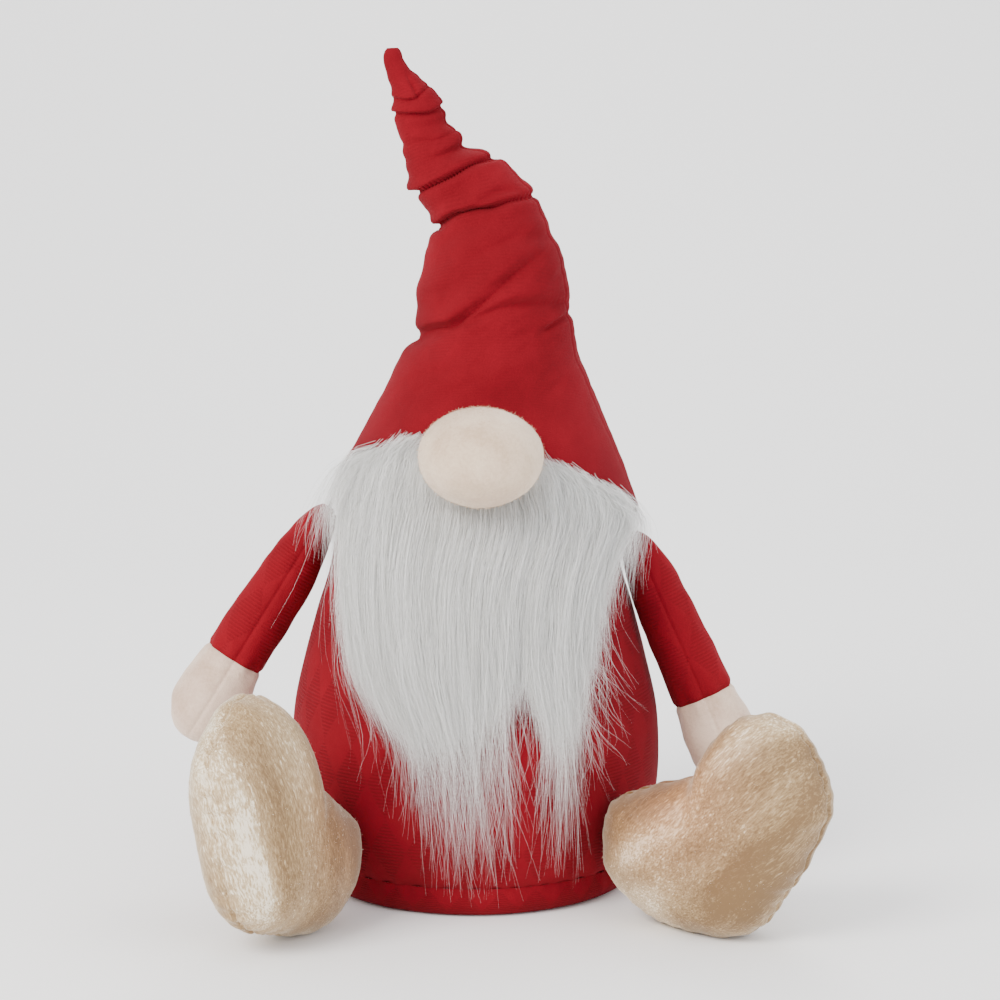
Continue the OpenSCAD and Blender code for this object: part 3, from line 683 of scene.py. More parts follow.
# ---- Nose ----
# The nose is a ball of brushed cream fleece drawn up tight over stuffing, sewn on over the brim.
def fleece(name, light, dark):
    """Brushed polyester fleece: a dense short nap, so it is matt, with a soft pale edge and no weave."""
    material, tree = new_material(name)
    solid = node(tree, "ShaderNodeTexCoord").outputs["Object"]
    nap = node(tree, "ShaderNodeTexNoise", {"Vector": solid, "Scale": 1500.0, "Detail": 3.0}).outputs["Fac"]
    clumps = node(tree, "ShaderNodeTexNoise", {"Vector": solid, "Scale": 420.0, "Detail": 5.0,
                                               "Roughness": 0.7}).outputs["Fac"]
    cloud = node(tree, "ShaderNodeTexNoise", {"Vector": solid, "Scale": 30.0, "Detail": 2.0}).outputs["Fac"]
    mix = maths(tree, "MULTIPLY_ADD", clumps, 0.6, cloud)
    share = ranged(tree, mix, low=0.6, high=0.95)
    ground = node(tree, "ShaderNodeMix", {"Factor": share}, data_type="RGBA")
    ground.inputs[6].default_value = linear(dark)
    ground.inputs[7].default_value = linear(light)
    height = maths(tree, "MULTIPLY_ADD", nap, 0.5, clumps)
    shader = node(tree, "ShaderNodeBsdfPrincipled", {
        "Base Color": ground.outputs[2], "Roughness": 0.95, "Specular IOR Level": 0.15,
        "Sheen Weight": 0.5, "Sheen Roughness": 0.6, "Sheen Tint": linear("#fff4ea")})
    finish_material(tree, shader, height, 0.85, 0.6 * MM)
    return material


def nap_fibres(name, grid, away, count, length, material):
    """Short fibres that stand out of the cloth: each is one thin tapered sliver."""
    row = rng.integers(1, grid.shape[0] - 1, count)
    column = rng.integers(0, grid.shape[1], count)
    root = grid[row, column] + rng.normal(0, 0.6, (count, 3))
    root = root - away[row, column] * 0.5
    lean_to = away[row, column] + rng.normal(0, 0.5, (count, 3))
    lean_to /= np.linalg.norm(lean_to, axis=1, keepdims=True)
    across = np.cross(lean_to, rng.normal(0, 1, (count, 3)))
    across /= np.linalg.norm(across, axis=1, keepdims=True)
    tall = length * rng.uniform(0.6, 1.2, (count, 1))
    points = np.stack([root - across * 0.14, root + across * 0.14,
                       root + lean_to * tall + across * 0.04, root + lean_to * tall - across * 0.04], 1)
    return new_piece(name, points.reshape(-1, 3) * MM, np.arange(4 * count).reshape(-1, 4), [material])


nose_fleece = fleece("cream brushed fleece", "#e0c8ae", "#c3a78b")
NOSE_AT = np.array([5.0, -121.0, 323.0])
NOSE_HALF = np.array([42.5, 41.0, 33.5])
NOSE_LOW, NOSE_HIGH = (NOSE_AT - [0, 0, 33.4]) * MM, (NOSE_AT + [0, 0, 33.4]) * MM
nose_rise = np.radians(np.linspace(-86, 86, 56))[:, None]
nose_turn = np.linspace(0, 2 * np.pi, 112, endpoint=False)
nose_ball = np.stack([np.cos(nose_rise) * np.cos(nose_turn), np.cos(nose_rise) * np.sin(nose_turn),
                      np.broadcast_to(np.sin(nose_rise), (56, 112))], -1)
nose_grid = NOSE_AT + nose_ball * NOSE_HALF * (1 + 0.012 * soft_noise(nose_ball * 40, 60.0, 21))[..., None]
nose_held = np.full(nose_grid.shape[:2], 0.3)
nose_grid = settle(nose_grid * MM, nose_grid * MM, nose_held, low=NOSE_LOW,
                   high=NOSE_HIGH, pressure=3.0, frames=8, cap=1.5 * MM) / MM
nose_cover = closed_skin("nose_ball", nose_grid * MM, [nose_fleece], low=NOSE_LOW,
                         high=NOSE_HIGH)
nose_nap = nap_fibres("nose_nap", nose_grid, grid_normals(nose_grid, True), 9000, 1.2, nose_fleece)
for piece in (nose_cover, nose_nap):
    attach(piece, "body")
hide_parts("nose_cover", "nose_stuffing")


# ---- Arms ----
# Each arm is a stuffed tube of the body's jersey, made from two panels whose seam runs down its front and
# its back, with a cream fleece hand sewn to its cuff. The shoulder is sewn on flat, so the arm swings.
ARM_SIDE = [(2, 5), (9, 10), (25, 15.5), (56, 19.5), (90, 21.2), (118, 22), (130, 22)]
HAND_SIDE = [(130, 22), (140, 23.6), (158, 26.2), (174, 25.5), (186, 20.5), (193, 13.5), (196, 6.5)]
CUFF = 130
ARM_LEAN = -7
ARM_AROUND = 96
arm_turn = np.linspace(0, 2 * np.pi, ARM_AROUND, endpoint=False)
arm_jersey = jersey("tonal diamond jersey of the sleeves", "#84131f", "#700e18", "#570a11", ribs=0.35, groove_shade=0.32)
hand_fleece = fleece("cream brushed fleece of the hands", "#dcc2ae", "#c0a18b")
seam_thread = thread_material("red polyester thread", "#6d1216")
cream_thread = thread_material("tan polyester thread", "#c4a892")


def turned(points, about_y, about_x):
    """Points turned about X and then about Y, in degrees."""
    a, b = math.radians(about_x), math.radians(about_y)
    tip = np.array([[1, 0, 0], [0, math.cos(a), -math.sin(a)], [0, math.sin(a), math.cos(a)]])
    swing = np.array([[math.cos(b), 0, math.sin(b)], [0, 1, 0], [-math.sin(b), 0, math.cos(b)]])
    return points @ (swing @ tip).T


def arm_tube(side, seed, shoulder, spread, lean):
    """The side profile, as distance down the arm and radius, turned round the arm's line: soft lumps,
    and a groove along both seams, which deepens where the stitches pull."""
    down, radius = side[:, :1], side[:, 1:]
    local = np.stack([radius * np.cos(arm_turn), radius * np.sin(arm_turn),
                      np.broadcast_to(-down, (len(side), ARM_AROUND))], -1)
    away = local * [1, 1, 0] / np.maximum(radius, 1)[..., None]
    # The front seam is at -Y and the back one at +Y
    gap = radius * np.abs(np.cos(arm_turn))
    groove = -0.7 * np.exp(-(gap / 1.2) ** 2) - 0.5 * np.exp(-(gap / 5) ** 2)
    lumps = 1.1 * soft_noise(local + [0, 0, 60 * seed], 55.0, seed, 3) * np.clip(down / 30, 0, 1)
    tuck = -1.3 * np.exp(-((down - CUFF) / 1.8) ** 2)
    drawn = 0.7 * np.sin(arm_turn * 9 + seed) * np.exp(-((down - CUFF) / 9) ** 2)
    return np.array(shoulder) + turned(local + away * (groove + lumps + tuck + drawn)[..., None], spread, lean)


for side_name, shoulder, spread, seed in (("left", (-104, -4, 272), 32, 31), ("right", (112, -4, 253), -24, 37)):
    body = side_name + "_arm"
    for part, profile, count, cloth, slot in (
            ("sleeve", ARM_SIDE, 84, arm_jersey, "red_jersey"),
            ("hand", HAND_SIDE, 54, hand_fleece, "cream_fleece")):
        # Rows run from the far end up to the shoulder, so that faces point outward
        side = even_steps(curve_through(profile, 300), count)[::-1]
        grid = arm_tube(side, seed, shoulder, spread, ARM_LEAN)
        # The hand's end, or the hidden middle of the other ends, closes on this point
        ends = [np.array(shoulder) + turned(np.array([0, 0, -depth]), spread, ARM_LEAN) for depth in (
            (127.0, 1.0) if part == "sleeve" else (196.8, 133.0))]
        held = np.where((side[:, :1] < 12) | (np.abs(side[:, :1] - CUFF) < 3), 1.0, 0.25) + 0 * arm_turn
        cut = np.stack([side[:, 1:] * 1.02 * np.cos(arm_turn), side[:, 1:] * 1.02 * np.sin(arm_turn),
                        np.broadcast_to(-1.045 * side[:, :1], held.shape)], -1)
        grid = settle(grid * MM, cut * MM, held, low=ends[0] * MM, high=ends[1] * MM, pressure=2.0,
                      frames=10, cap=2.5 * MM, stiff=8.0, bending=0.15) / MM
        grid = finer(grid)
        fine_side = np.interp(np.arange(len(grid)) / 2, np.arange(count), side[:, 0])
        lap = np.linspace(0, 2 * np.pi, 2 * ARM_AROUND + 1)
        # The two panels' patterns meet at the seams, half a diamond out of step
        uv = wrapped_uv(lap * 20.5 + 9.0 * seed, -fine_side)
        cover = closed_skin("%s_%s_cover" % (side_name, part), grid * MM, [cloth], low=ends[0] * MM,
                            high=ends[1] * MM, uv=uv)
        if part == "sleeve":
            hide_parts(side_name + "_sleeve_outer_panel", side_name + "_sleeve_inner_panel",
                        side_name + "_arm_stuffing")
        else:
            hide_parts(side_name + "_hand_outer_panel", side_name + "_hand_inner_panel")
        seam_column = 3 * ARM_AROUND // 2
        outward = grid_normals(grid, True)[:, seam_column]
        path = grid[:, seam_column] - outward * 0.25
        row = stitches("%s_%s_seam" % (side_name, part), path[6:-4] * MM, outward[6:-4],
                       seam_thread if part == "sleeve" else cream_thread, 2.5 * MM, 1.9 * MM, 0.5 * MM)
        for piece in (cover, row):
            if part == "sleeve":
                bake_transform(piece)
            else:
                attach(piece, body)


# ---- Boots ----
# Each boot is a plump pillow of crushed champagne velvet, cut as two equal sides and sewn together round
# the rim, which puckers. It is sewn to the body by its heel.
BOOT_OUTLINE = [(1, 8), (8, 28), (29, 39), (53, 49), (73, 58), (85, 82), (102, 101), (125, 108), (148, 99),
                (165, 72), (170, 47), (157, 14), (144, -12), (129, -37), (108, -48), (77, -50), (48, -49),
                (24, -39), (5, -20)]
BOOT_MIDDLE = np.array([88.0, 15.0])
BOOT_HALF = 40.0
BOOT_AROUND, BOOT_RINGS = 176, 60
# Each heel stands this far from the body's axis, turned this far from straight ahead
HIP_OUT, HIP_DEGREES = 133, 43


def velvet(name, tilt, seed, warm_at):
    """Crushed velvet: a short dense pile of shiny yarn, laid this way and that in broad bands. Its shine is
    painted into the base colour: painted shade where the pile leans to the eye and painted sheen where it leans
    away, with painted glints, and the yarns show as fine streaks."""
    material, tree = new_material(name)
    solid = node(tree, "ShaderNodeTexCoord").outputs["Object"]
    turned_to = node(tree, "ShaderNodeMapping", {"Vector": solid, "Rotation": (0, tilt, 0)}).outputs[0]
    squeezed = node(tree, "ShaderNodeMapping", {"Vector": turned_to, "Scale": (1.0, 1.0, 0.16),
                                                "Location": (seed, 0, 0)}).outputs[0]
    bands = node(tree, "ShaderNodeTexNoise", {"Vector": squeezed, "Scale": 24.0, "Detail": 2.0,
                                              "Roughness": 0.4, "Distortion": 0.2}).outputs["Fac"]
    long_crush = node(tree, "ShaderNodeMapping", {"Vector": turned_to, "Scale": (1.0, 1.0, 0.45)}).outputs[0]
    crush = node(tree, "ShaderNodeTexNoise", {"Vector": long_crush, "Scale": 230.0, "Detail": 5.0,
                                              "Roughness": 0.75}).outputs["Fac"]
    long_yarn = node(tree, "ShaderNodeMapping", {"Vector": turned_to, "Scale": (1.0, 1.0, 0.2)}).outputs[0]
    yarn = node(tree, "ShaderNodeTexNoise", {"Vector": long_yarn, "Scale": 900.0, "Detail": 3.0,
                                             "Roughness": 0.75}).outputs["Fac"]
    glint = node(tree, "ShaderNodeTexVoronoi", {"Vector": long_yarn, "Scale": 900.0})
    # The bands, crush and yarn noises are summed into how the pile lies, which below sets the painted sheen and
    # painted shade of the colour.
    lie = maths(tree, "MULTIPLY_ADD", crush, 0.30, bands)
    lie = maths(tree, "MULTIPLY_ADD", yarn, 0.72, lie)
    # Painted glints: bright specks of highlight added into the colour.
    flash = ranged(tree, glint.outputs["Color"], low=0.72, high=0.95, to_high=0.16)
    lie = maths(tree, "ADD", lie, flash)
    share = ranged(tree, lie, low=0.85, high=1.28)
    # The ramp paints the pile's sheen into its colour: its light stops are painted highlight and its dark stops
    # painted shade.
    pile = ramp(tree, share, (0.0, "#765935"), (0.32, "#937750"), (0.55, "#a68b65"), (0.8, "#c6af8a"),
                (1.0, "#eee1c9"))
    # Within 85 mm of warm_at the colour is multiplied towards tan, most within 20 mm, so it is darker and warmer
    # there
    aside = node(tree, "ShaderNodeVectorMath", {0: solid, 1: warm_at}, operation="DISTANCE").outputs["Value"]
    near = ranged(tree, aside, low=0.02, high=0.085, to_low=0.75, to_high=0.0)
    cast = node(tree, "ShaderNodeMix", {"Factor": near}, data_type="RGBA", blend_type="MULTIPLY")
    tree.links.new(pile, cast.inputs[6])
    cast.inputs[7].default_value = linear("#dfa878")
    rough = ranged(tree, share, to_low=0.65, to_high=0.34)
    height = maths(tree, "MULTIPLY_ADD", crush, 0.7, yarn)
    shader = node(tree, "ShaderNodeBsdfPrincipled", {
        "Base Color": cast.outputs[2], "Roughness": rough, "Specular IOR Level": 0.55,
        "Anisotropic": 0.5, "Sheen Weight": 0.6, "Sheen Roughness": 0.35, "Sheen Tint": linear("#fff3df")})
    finish_material(tree, shader, height, 0.6, 0.4 * MM)
    return material


def boot_surface(seed):
    """A pillow: rings shrink from the rim to the middle of the near side and of the far side, and each
    ring's thickness is the half thickness times a steep-edged dome. The rim's seam puckers the cloth."""
    outline = even_steps(curve_through(BOOT_OUTLINE + BOOT_OUTLINE[:1], 2000), BOOT_AROUND + 1)[:-1]
    swing = np.linspace(0.5, 1.5, 2 * BOOT_RINGS + 1)[1:-1] * np.pi
    reach, deep = -np.cos(swing), -np.sin(swing)
    flat = BOOT_MIDDLE + (outline - BOOT_MIDDLE) * (np.abs(reach) ** 0.92)[:, None, None]
    thick = np.sign(deep) * np.sqrt(np.maximum(1 - np.abs(reach) ** 2.0, 0)) ** 0.92 * BOOT_HALF
    grid = np.stack([flat[..., 0], np.broadcast_to(thick[:, None], flat.shape[:2]), flat[..., 1]], -1)
    away = grid_normals(grid, True)
    span = np.arange(BOOT_AROUND) * 2 * np.pi / BOOT_AROUND
    rim = np.abs(thick)[:, None]
    pucker = 1.0 * np.sin(span * 34 + 2.5 * np.sin(span * 5 + seed)) * np.exp(-rim / 10)
    seam = -2.0 * np.exp(-(rim / 1.6) ** 2)
    lumps = 1.5 * soft_noise(grid + 70 * seed, 80.0, seed, 2)
    return grid + away * (pucker + seam + lumps)[..., None]


def at_hip(points, side, turn_out, lean, tilt, hip_z):
    """Stands a boot at the hip: tilted up at the toe, leaned, then turned out from straight ahead."""
    x, y, z = points[..., 0], points[..., 1], points[..., 2]
    a, b, c = math.radians(side * lean), math.radians(-tilt), math.radians(side * turn_out - 90)
    y, z = y * math.cos(a) - z * math.sin(a), y * math.sin(a) + z * math.cos(a)
    x, z = x * math.cos(b) + z * math.sin(b), -x * math.sin(b) + z * math.cos(b)
    x, y = x * math.cos(c) - y * math.sin(c), x * math.sin(c) + y * math.cos(c)
    hip = math.radians(HIP_DEGREES)
    return np.stack([x + side * HIP_OUT * math.sin(hip), y - HIP_OUT * math.cos(hip), z + hip_z], -1)


champagne_yarn, tree = new_material("champagne pile yarn")
yarn_tone = node(tree, "ShaderNodeTexNoise", {"Vector": node(tree, "ShaderNodeTexCoord").outputs["Object"],
                                              "Scale": 260.0, "Detail": 3.0})
finish_material(tree, node(tree, "ShaderNodeBsdfPrincipled", {
    "Base Color": ramp(tree, yarn_tone.outputs["Fac"], (0.35, "#b89c72"), (0.65, "#f1e6d2")),
    "Roughness": 0.45, "Sheen Weight": 0.4}))

for side_name, side, turn_out, lean, tilt, hip_z, tack, band_tilt, seed, warm in (
        ("left", -1, 31, -5, 16, 33.8, (16, 38), 0.25, 3, (-0.095, -0.13, 0.085)),
        ("right", 1, 57, -1, -2, 53.1, (6, 30), -0.85, 5, (0.135, -0.15, 0.105))):
    grid = boot_surface(seed)
    poles = [np.array([BOOT_MIDDLE[0], y, BOOT_MIDDLE[1]]) for y in (-BOOT_HALF, BOOT_HALF)]
    grid = at_hip(grid, side, turn_out, lean, tilt, hip_z)
    poles = [at_hip(p, side, turn_out, lean, tilt, hip_z) for p in poles]
    middle = grid.mean((0, 1))
    grid = settle(grid * MM, (middle + (grid - middle) * 1.03) * MM,
                  np.full(grid.shape[:2], 0.2), low=poles[0] * MM, high=poles[1] * MM, pressure=2.5,
                  frames=10, cap=2.5 * MM, stiff=7.0, bending=0.1) / MM
    grid[..., 2] = np.maximum(grid[..., 2], 0.25)
    cloth = velvet(side_name + " boot crushed velvet", band_tilt, seed, warm)
    cover = closed_skin(side_name + "_boot_cover", finer(grid) * MM, [cloth],
                        low=poles[0] * MM, high=poles[1] * MM)
    nap = nap_fibres(side_name + "_boot_nap", grid, grid_normals(grid, True), 7000, 0.7, champagne_yarn)
    for piece in (cover, nap):
        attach(piece, side_name + "_boot")
    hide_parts(side_name + "_boot_outer_panel", side_name + "_boot_inner_panel",
                side_name + "_boot_stuffing")
    # The tacks to the body lie in the heel's cloth, and only their edges show
    inward = BOOT_MIDDLE - tack
    inward = inward / np.linalg.norm(inward)
    tack_line = np.stack([np.full(12, tack[0] + 3.0 * inward[0]), np.linspace(-5.5, 5.5, 12),
                          np.full(12, tack[1] + 3.0 * inward[1])], 1)
    tack_path = at_hip(tack_line, side, turn_out, lean, tilt, hip_z)
    tack_up = tack_path - at_hip(tack_line + [inward[0], 0, inward[1]], side, turn_out, lean, tilt, hip_z)
    tacks = stitches(side_name + "_hip_tacks", tack_path * MM, tack_up, dark_thread, 3.4 * MM, 2.8 * MM, 0.8 * MM)
    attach(tacks, "body")
    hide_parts(side_name + "_hip_thread")


# ---- Beard ----
# The beard is one piece of long white polyester fur, sewn to the cloth just under the brim. Its backing
# is short; the hair hangs from it in clumps, lies on the body, parts into locks and ends in wisps.
BEARD_OUT = np.array([(321, 103), (300, 113), (275, 119), (210, 134), (140, 146), (100, 147),
                      (56, 140), (10, 131)])
BEARD_IN = np.array([(321, 97), (300, 102), (275, 109), (225, 115), (165, 127), (112, 136), (84, 137),
                     (56, 134.5), (36, 130.5), (10, 124)])
LEFT_EDGE = np.array([(330, -88), (309, -90), (285, -92), (229, -91), (193, -85), (160, -79), (130, -72),
                      (105, -66), (56, -56), (10, -50)])
RIGHT_EDGE = np.array([(330, 104), (300, 110), (272, 112), (257, 100), (229, 90), (193, 86), (160, 84), (120, 82),
                       (91, 80), (56, 78), (10, 74)])
STRAND_POINTS = 8


def by_height(table, z):
    """Values of a height table, which runs down, at heights z."""
    return np.interp(z, table[::-1, 0], table[::-1, 1])


def brim_height(x):
    """Height of the hat's brim over the front, at x."""
    y = 6 - np.sqrt(np.maximum(106.0 ** 2 - (x - 11) ** 2, 900))
    return 285.7 - 0.156 * (x - 18) - 0.36 * y


def on_beard(x, z, depth):
    """Points of the beard at x and z; depth is 0 on the body and 1 at the front of the fur."""
    middle = 11 * np.clip((z - 180) / 95, 0, 1)
    radius = by_height(BEARD_IN, z) * (1 - depth) + by_height(BEARD_OUT, z) * depth
    across = x - middle
    flank = np.maximum(radius ** 2 - across ** 2, 0) ** 0.5
    return np.stack([x, -np.maximum(flank, 26 + 8 * depth), z], -1)


def flow(u, z):
    """Where the hair with place u across the beard, -1 to 1, is at height z: the edges draw together
    lower down, and below 170 mm a parting opens right of the middle."""
    left, right = by_height(LEFT_EDGE, z), by_height(RIGHT_EDGE, z)
    x = (left + right) / 2 + u * (right - left) / 2
    parting, half = 37.0, 10.0 * np.clip((172 - z) / 45, 0, 1)
    aside = x - parting
    kept = np.maximum(np.abs(aside) * (1 - half / 60), 0)
    return parting + np.sign(aside) * (kept + half * np.exp(-(aside / 42) ** 2))


def clump_spines(u, depth, top, bottom, wander, root_depth=0.0):
    """Spines that follow the flow from top down to bottom, with a slow wander of their own. Each rises
    from root_depth to its own depth within a few millimetres of its root."""
    step = np.linspace(0, 1, STRAND_POINTS)
    z = top[:, None] + (bottom - top)[:, None] * step
    phase = rng.uniform(0, 2 * np.pi, (2, len(u), 1))
    sway = wander[:, None] * (np.sin(phase[0] + step * rng.uniform(2, 5, (len(u), 1))) - np.sin(phase[0])) * step
    fan = 1 - 0.2 * np.exp(-step / 0.09)
    x = flow(u[:, None] * fan, z) + sway
    raised = depth[:, None] * np.clip((top - bottom)[:, None] * step / 16, 0, 1) ** 0.7 * (1 - 0.55 * step)
    raised = np.maximum(raised, root_depth * (1 - step))
    spine = on_beard(x, np.minimum(z, 335), raised)
    spine[..., 1] -= 1.6 * np.sin(phase[1] + step * 5) * step
    spine[..., 2] = z + 2.0 * np.exp(-((step - 0.06) / 0.05) ** 2)
    return spine


def swing_with_beard(piece):
    """Bakes the piece's placement into its mesh."""
    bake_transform(piece)


def strands(name, spines, each, wide_at_root, wide_at_tip, material, thick=0.21, stray=0.5, lifts=True):
    """Each spine becomes each strands, which start wide_at_root mm apart from it and draw in to
    wide_at_tip; a strand is one ribbon that thins to its end. U is a strand's own number, V its length.
    Where lifts is false the strands are attached to the body, and otherwise their placement is baked into the
    mesh."""
    count = len(spines) * each
    spine = np.repeat(spines, each, 0)
    step = np.linspace(0, 1, STRAND_POINTS)[None, :, None]
    reach = rng.uniform(0.62, 1.0, (count, 1, 1)) ** 0.8
    place = step * reach * (STRAND_POINTS - 1)
    first = np.minimum(place.astype(int), STRAND_POINTS - 2)
    part = place - first
    lower = np.take_along_axis(spine, first, 1)
    upper = np.take_along_axis(spine, first + 1, 1)
    line = lower * (1 - part) + upper * part
    offset = rng.normal(0, 0.5, (count, 1, 3)) * [1, 0.45, 0.35]
    drawn = wide_at_root + (wide_at_tip - wide_at_root) * step ** 0.7
    curl = rng.normal(0, stray, (count, 1, 3)) * step ** 1.6 * [5.0, 1.8, 1.0]
    wave = 0.35 * rng.normal(0, 1, (count, 1, 3))
    wave = wave * np.sin(step * 9 + rng.uniform(0, 6.3, (count, 1, 1))) * [1, 0.5, 0]
    line = line + offset * drawn + curl + wave
    # Hair lies on the body and does not go into it
    flat = np.linalg.norm(line[..., :2], axis=-1)
    least = np.interp(line[..., 2], [10, 36, 84, 112, 165, 225], [124, 128, 135.5, 134.5, 125, 107]) + 0.8
    push = np.where(line[..., 2] < 262, np.maximum(least / np.maximum(flat, 1), 1), 1)
    line[..., :2] *= push[..., None]
    ahead = np.gradient(line, axis=1)
    across = np.cross(ahead, rng.normal(0, 1, (count, 1, 3)) + [0, 1.2, 0])
    across /= np.maximum(np.linalg.norm(across, axis=-1, keepdims=True), 1e-9)
    half = across * (thick / 2) * (1 - 0.75 * step ** 1.5)
    points = np.stack([line - half, line + half], 2).reshape(-1, 3)
    corner = np.arange(STRAND_POINTS - 1) * 2
    ribbon = np.stack([corner, corner + 1, corner + 3, corner + 2], 1)
    faces = (ribbon[None] + (np.arange(count) * 2 * STRAND_POINTS)[:, None, None]).reshape(-1, 4)
    own = np.repeat(rng.uniform(0, 1, count), 4 * (STRAND_POINTS - 1))
    down = np.tile(np.stack([corner, corner, corner + 2, corner + 2], 1).ravel() / (2 * STRAND_POINTS - 2), count)
    piece = new_piece(name, points * MM, faces, [material], uv=np.stack([own, down], 1))
    if lifts:
        swing_with_beard(piece)
    else:
        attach(piece, "body")
    return piece


# White polyester fur fibre: glossy along the strand, each a slightly different white, with painted shade that
# greys the first quarter of it at the root
white_hair, tree = new_material("long white polyester fur")
strand_place = node(tree, "ShaderNodeSeparateXYZ", {"Vector": node(tree, "ShaderNodeTexCoord").outputs["UV"]})
hair_tone_and_root_shade = node(tree, "ShaderNodeHueSaturation", {
    "Color": ramp(tree, strand_place.outputs["X"], (0.0, "#cdcdc9"), (1.0, "#ffffff")),
    # Painted shade at the root: the colour is darkened to 0.92 at the root and clears a quarter of the way along.
    "Value": ranged(tree, strand_place.outputs["Y"], high=0.25, to_low=0.92)})
glossy_hair = node(tree, "ShaderNodeBsdfPrincipled", {
    "Base Color": hair_tone_and_root_shade.outputs[0], "Roughness": 0.36, "Specular IOR Level": 0.7, "Sheen Weight": 0.3})
lit_through = node(tree, "ShaderNodeBsdfTranslucent", {"Color": hair_tone_and_root_shade.outputs[0]})
finish_material(tree, node(tree, "ShaderNodeMixShader", {
    0: 0.4, 1: glossy_hair.outputs[0], 2: lit_through.outputs[0]}))

# The fur's dense inside: hair so thick that only streaks show, over the woven backing. The grey in the streaks'
# hollows is painted shade between the strands
fur_core, tree = new_material("dense underfur")
streak_place = node(tree, "ShaderNodeMapping", {"Vector": node(tree, "ShaderNodeTexCoord").outputs["UV"],
                                                "Scale": (1.0, 0.035, 1.0)}).outputs[0]
streak = node(tree, "ShaderNodeTexNoise", {"Vector": streak_place, "Scale": 1.1, "Detail": 5.0, "Roughness": 0.7})
# Painted shade: where the streak noise is low, in the hollows of the bump, the white is greyed.
finish_material(tree, node(tree, "ShaderNodeBsdfPrincipled", {
    "Base Color": ramp(tree, streak.outputs["Fac"], (0.3, "#c6c6c2"), (0.62, "#fbfbf9")),
    "Roughness": 0.6, "Sheen Weight": 0.3}),
    streak.outputs["Fac"], 0.9, 1.2 * MM)

CORE_COLUMNS = 190
core_u = np.linspace(-0.985, 0.93, CORE_COLUMNS)
core_v = np.linspace(0, 1, 90)[:, None]
core_places = np.stack([core_u * 60, 0 * core_u, 0 * core_u], -1)
core_end = 158 + 22 * soft_noise(core_places, 14.0, 77, 2) + 58 * np.abs(core_u) ** 3 \
    + 45 * np.exp(-((core_u - 0.36) / 0.12) ** 2)
core_top = brim_height(flow(core_u, 300.0)) - 2
core_z = core_top * (1 - core_v) + core_end * core_v
core_x = flow(core_u[None, :], core_z)
ridge_places = np.stack([core_u[None, :] * 90 + 0 * core_v, core_z * 0.06, 0 * core_z], -1)
core_ridge = 0.5 + 0.5 * soft_noise(ridge_places, 5.0, 78, 3)
core_fade = np.clip((1 - core_v) / 0.35, 0.12, 1) * np.clip(core_v / 0.06, 0.15, 1)
core_front = on_beard(core_x, core_z, (0.12 + 0.40 * core_ridge) * core_fade)
core_back = on_beard(core_x, core_z, 0.03 + 0 * core_z)
core_wrap = np.concatenate([core_front, core_back[:, ::-1]], 1)
core_width = np.arange(2 * CORE_COLUMNS + 1) * 1.0
core_uv = wrapped_uv(core_width, core_z.mean(1))
beard_core = closed_skin("beard_underfur", core_wrap[::-1] * MM, [fur_core],
                         low=core_wrap[-1].mean(0) * MM, high=core_wrap[0].mean(0) * MM,
                         uv=(core_uv[0][::-1], core_uv[1][::-1]))
swing_with_beard(beard_core)
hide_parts("beard_top_fur", "beard_fall_fur")

# The woven backing, a sheet sewn in under the brim, hangs behind the fur
backing_u, backing_v = np.linspace(-0.93, 0.88, 90), np.linspace(0, 1, 50)[:, None]
backing_top = brim_height(flow(backing_u, 300.0)) - 5
backing_z = backing_top * (1 - backing_v) + (166 + 44 * np.abs(backing_u) ** 3) * backing_v
backing_grid = on_beard(flow(backing_u[None, :], backing_z), backing_z, 0.015)[::-1]
backing_weave, tree = new_material("woven polyester backing")
backing_threads = node(tree, "ShaderNodeTexWave", {
    "Vector": node(tree, "ShaderNodeTexCoord").outputs["Object"], "Scale": 260.0, "Distortion": 1.0})
finish_material(tree, node(tree, "ShaderNodeBsdfPrincipled", {
    "Base Color": ramp(tree, backing_threads.outputs["Fac"], (0.0, "#c9c5bd"), (1.0, "#e2dfd8")),
    "Roughness": 0.9, "Sheen Weight": 0.2}),
    backing_threads.outputs["Fac"], 0.6, 0.2 * MM)
backing = new_piece("beard_backing", backing_grid.reshape(-1, 3) * MM, grid_quads(50, 90, False)[0],
                    [backing_weave])
thickness = backing.modifiers.new("cloth thickness", "SOLIDIFY")
thickness.thickness = 0.6 * MM
swing_with_beard(backing)
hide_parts("beard_top_backing", "beard_fall_backing")


def dense_end(u):
    """The height where the dense hair at u ends."""
    return np.interp(u, [-1, -0.8, -0.5, -0.1, 0.25, 0.36, 0.5, 0.62, 0.75, 0.9, 1],
                     [156, 132, 134, 146, 156, 190, 142, 132, 138, 178, 210])


def lock_end(u):
    """The height where the longest locks at u end."""
    return np.interp(u, [-1, -0.85, -0.6, -0.3, 0.0, 0.25, 0.36, 0.5, 0.65, 0.8, 0.92, 1],
                     [120, 60, 24, 14, 14, 20, 110, 40, 18, 24, 110, 180])


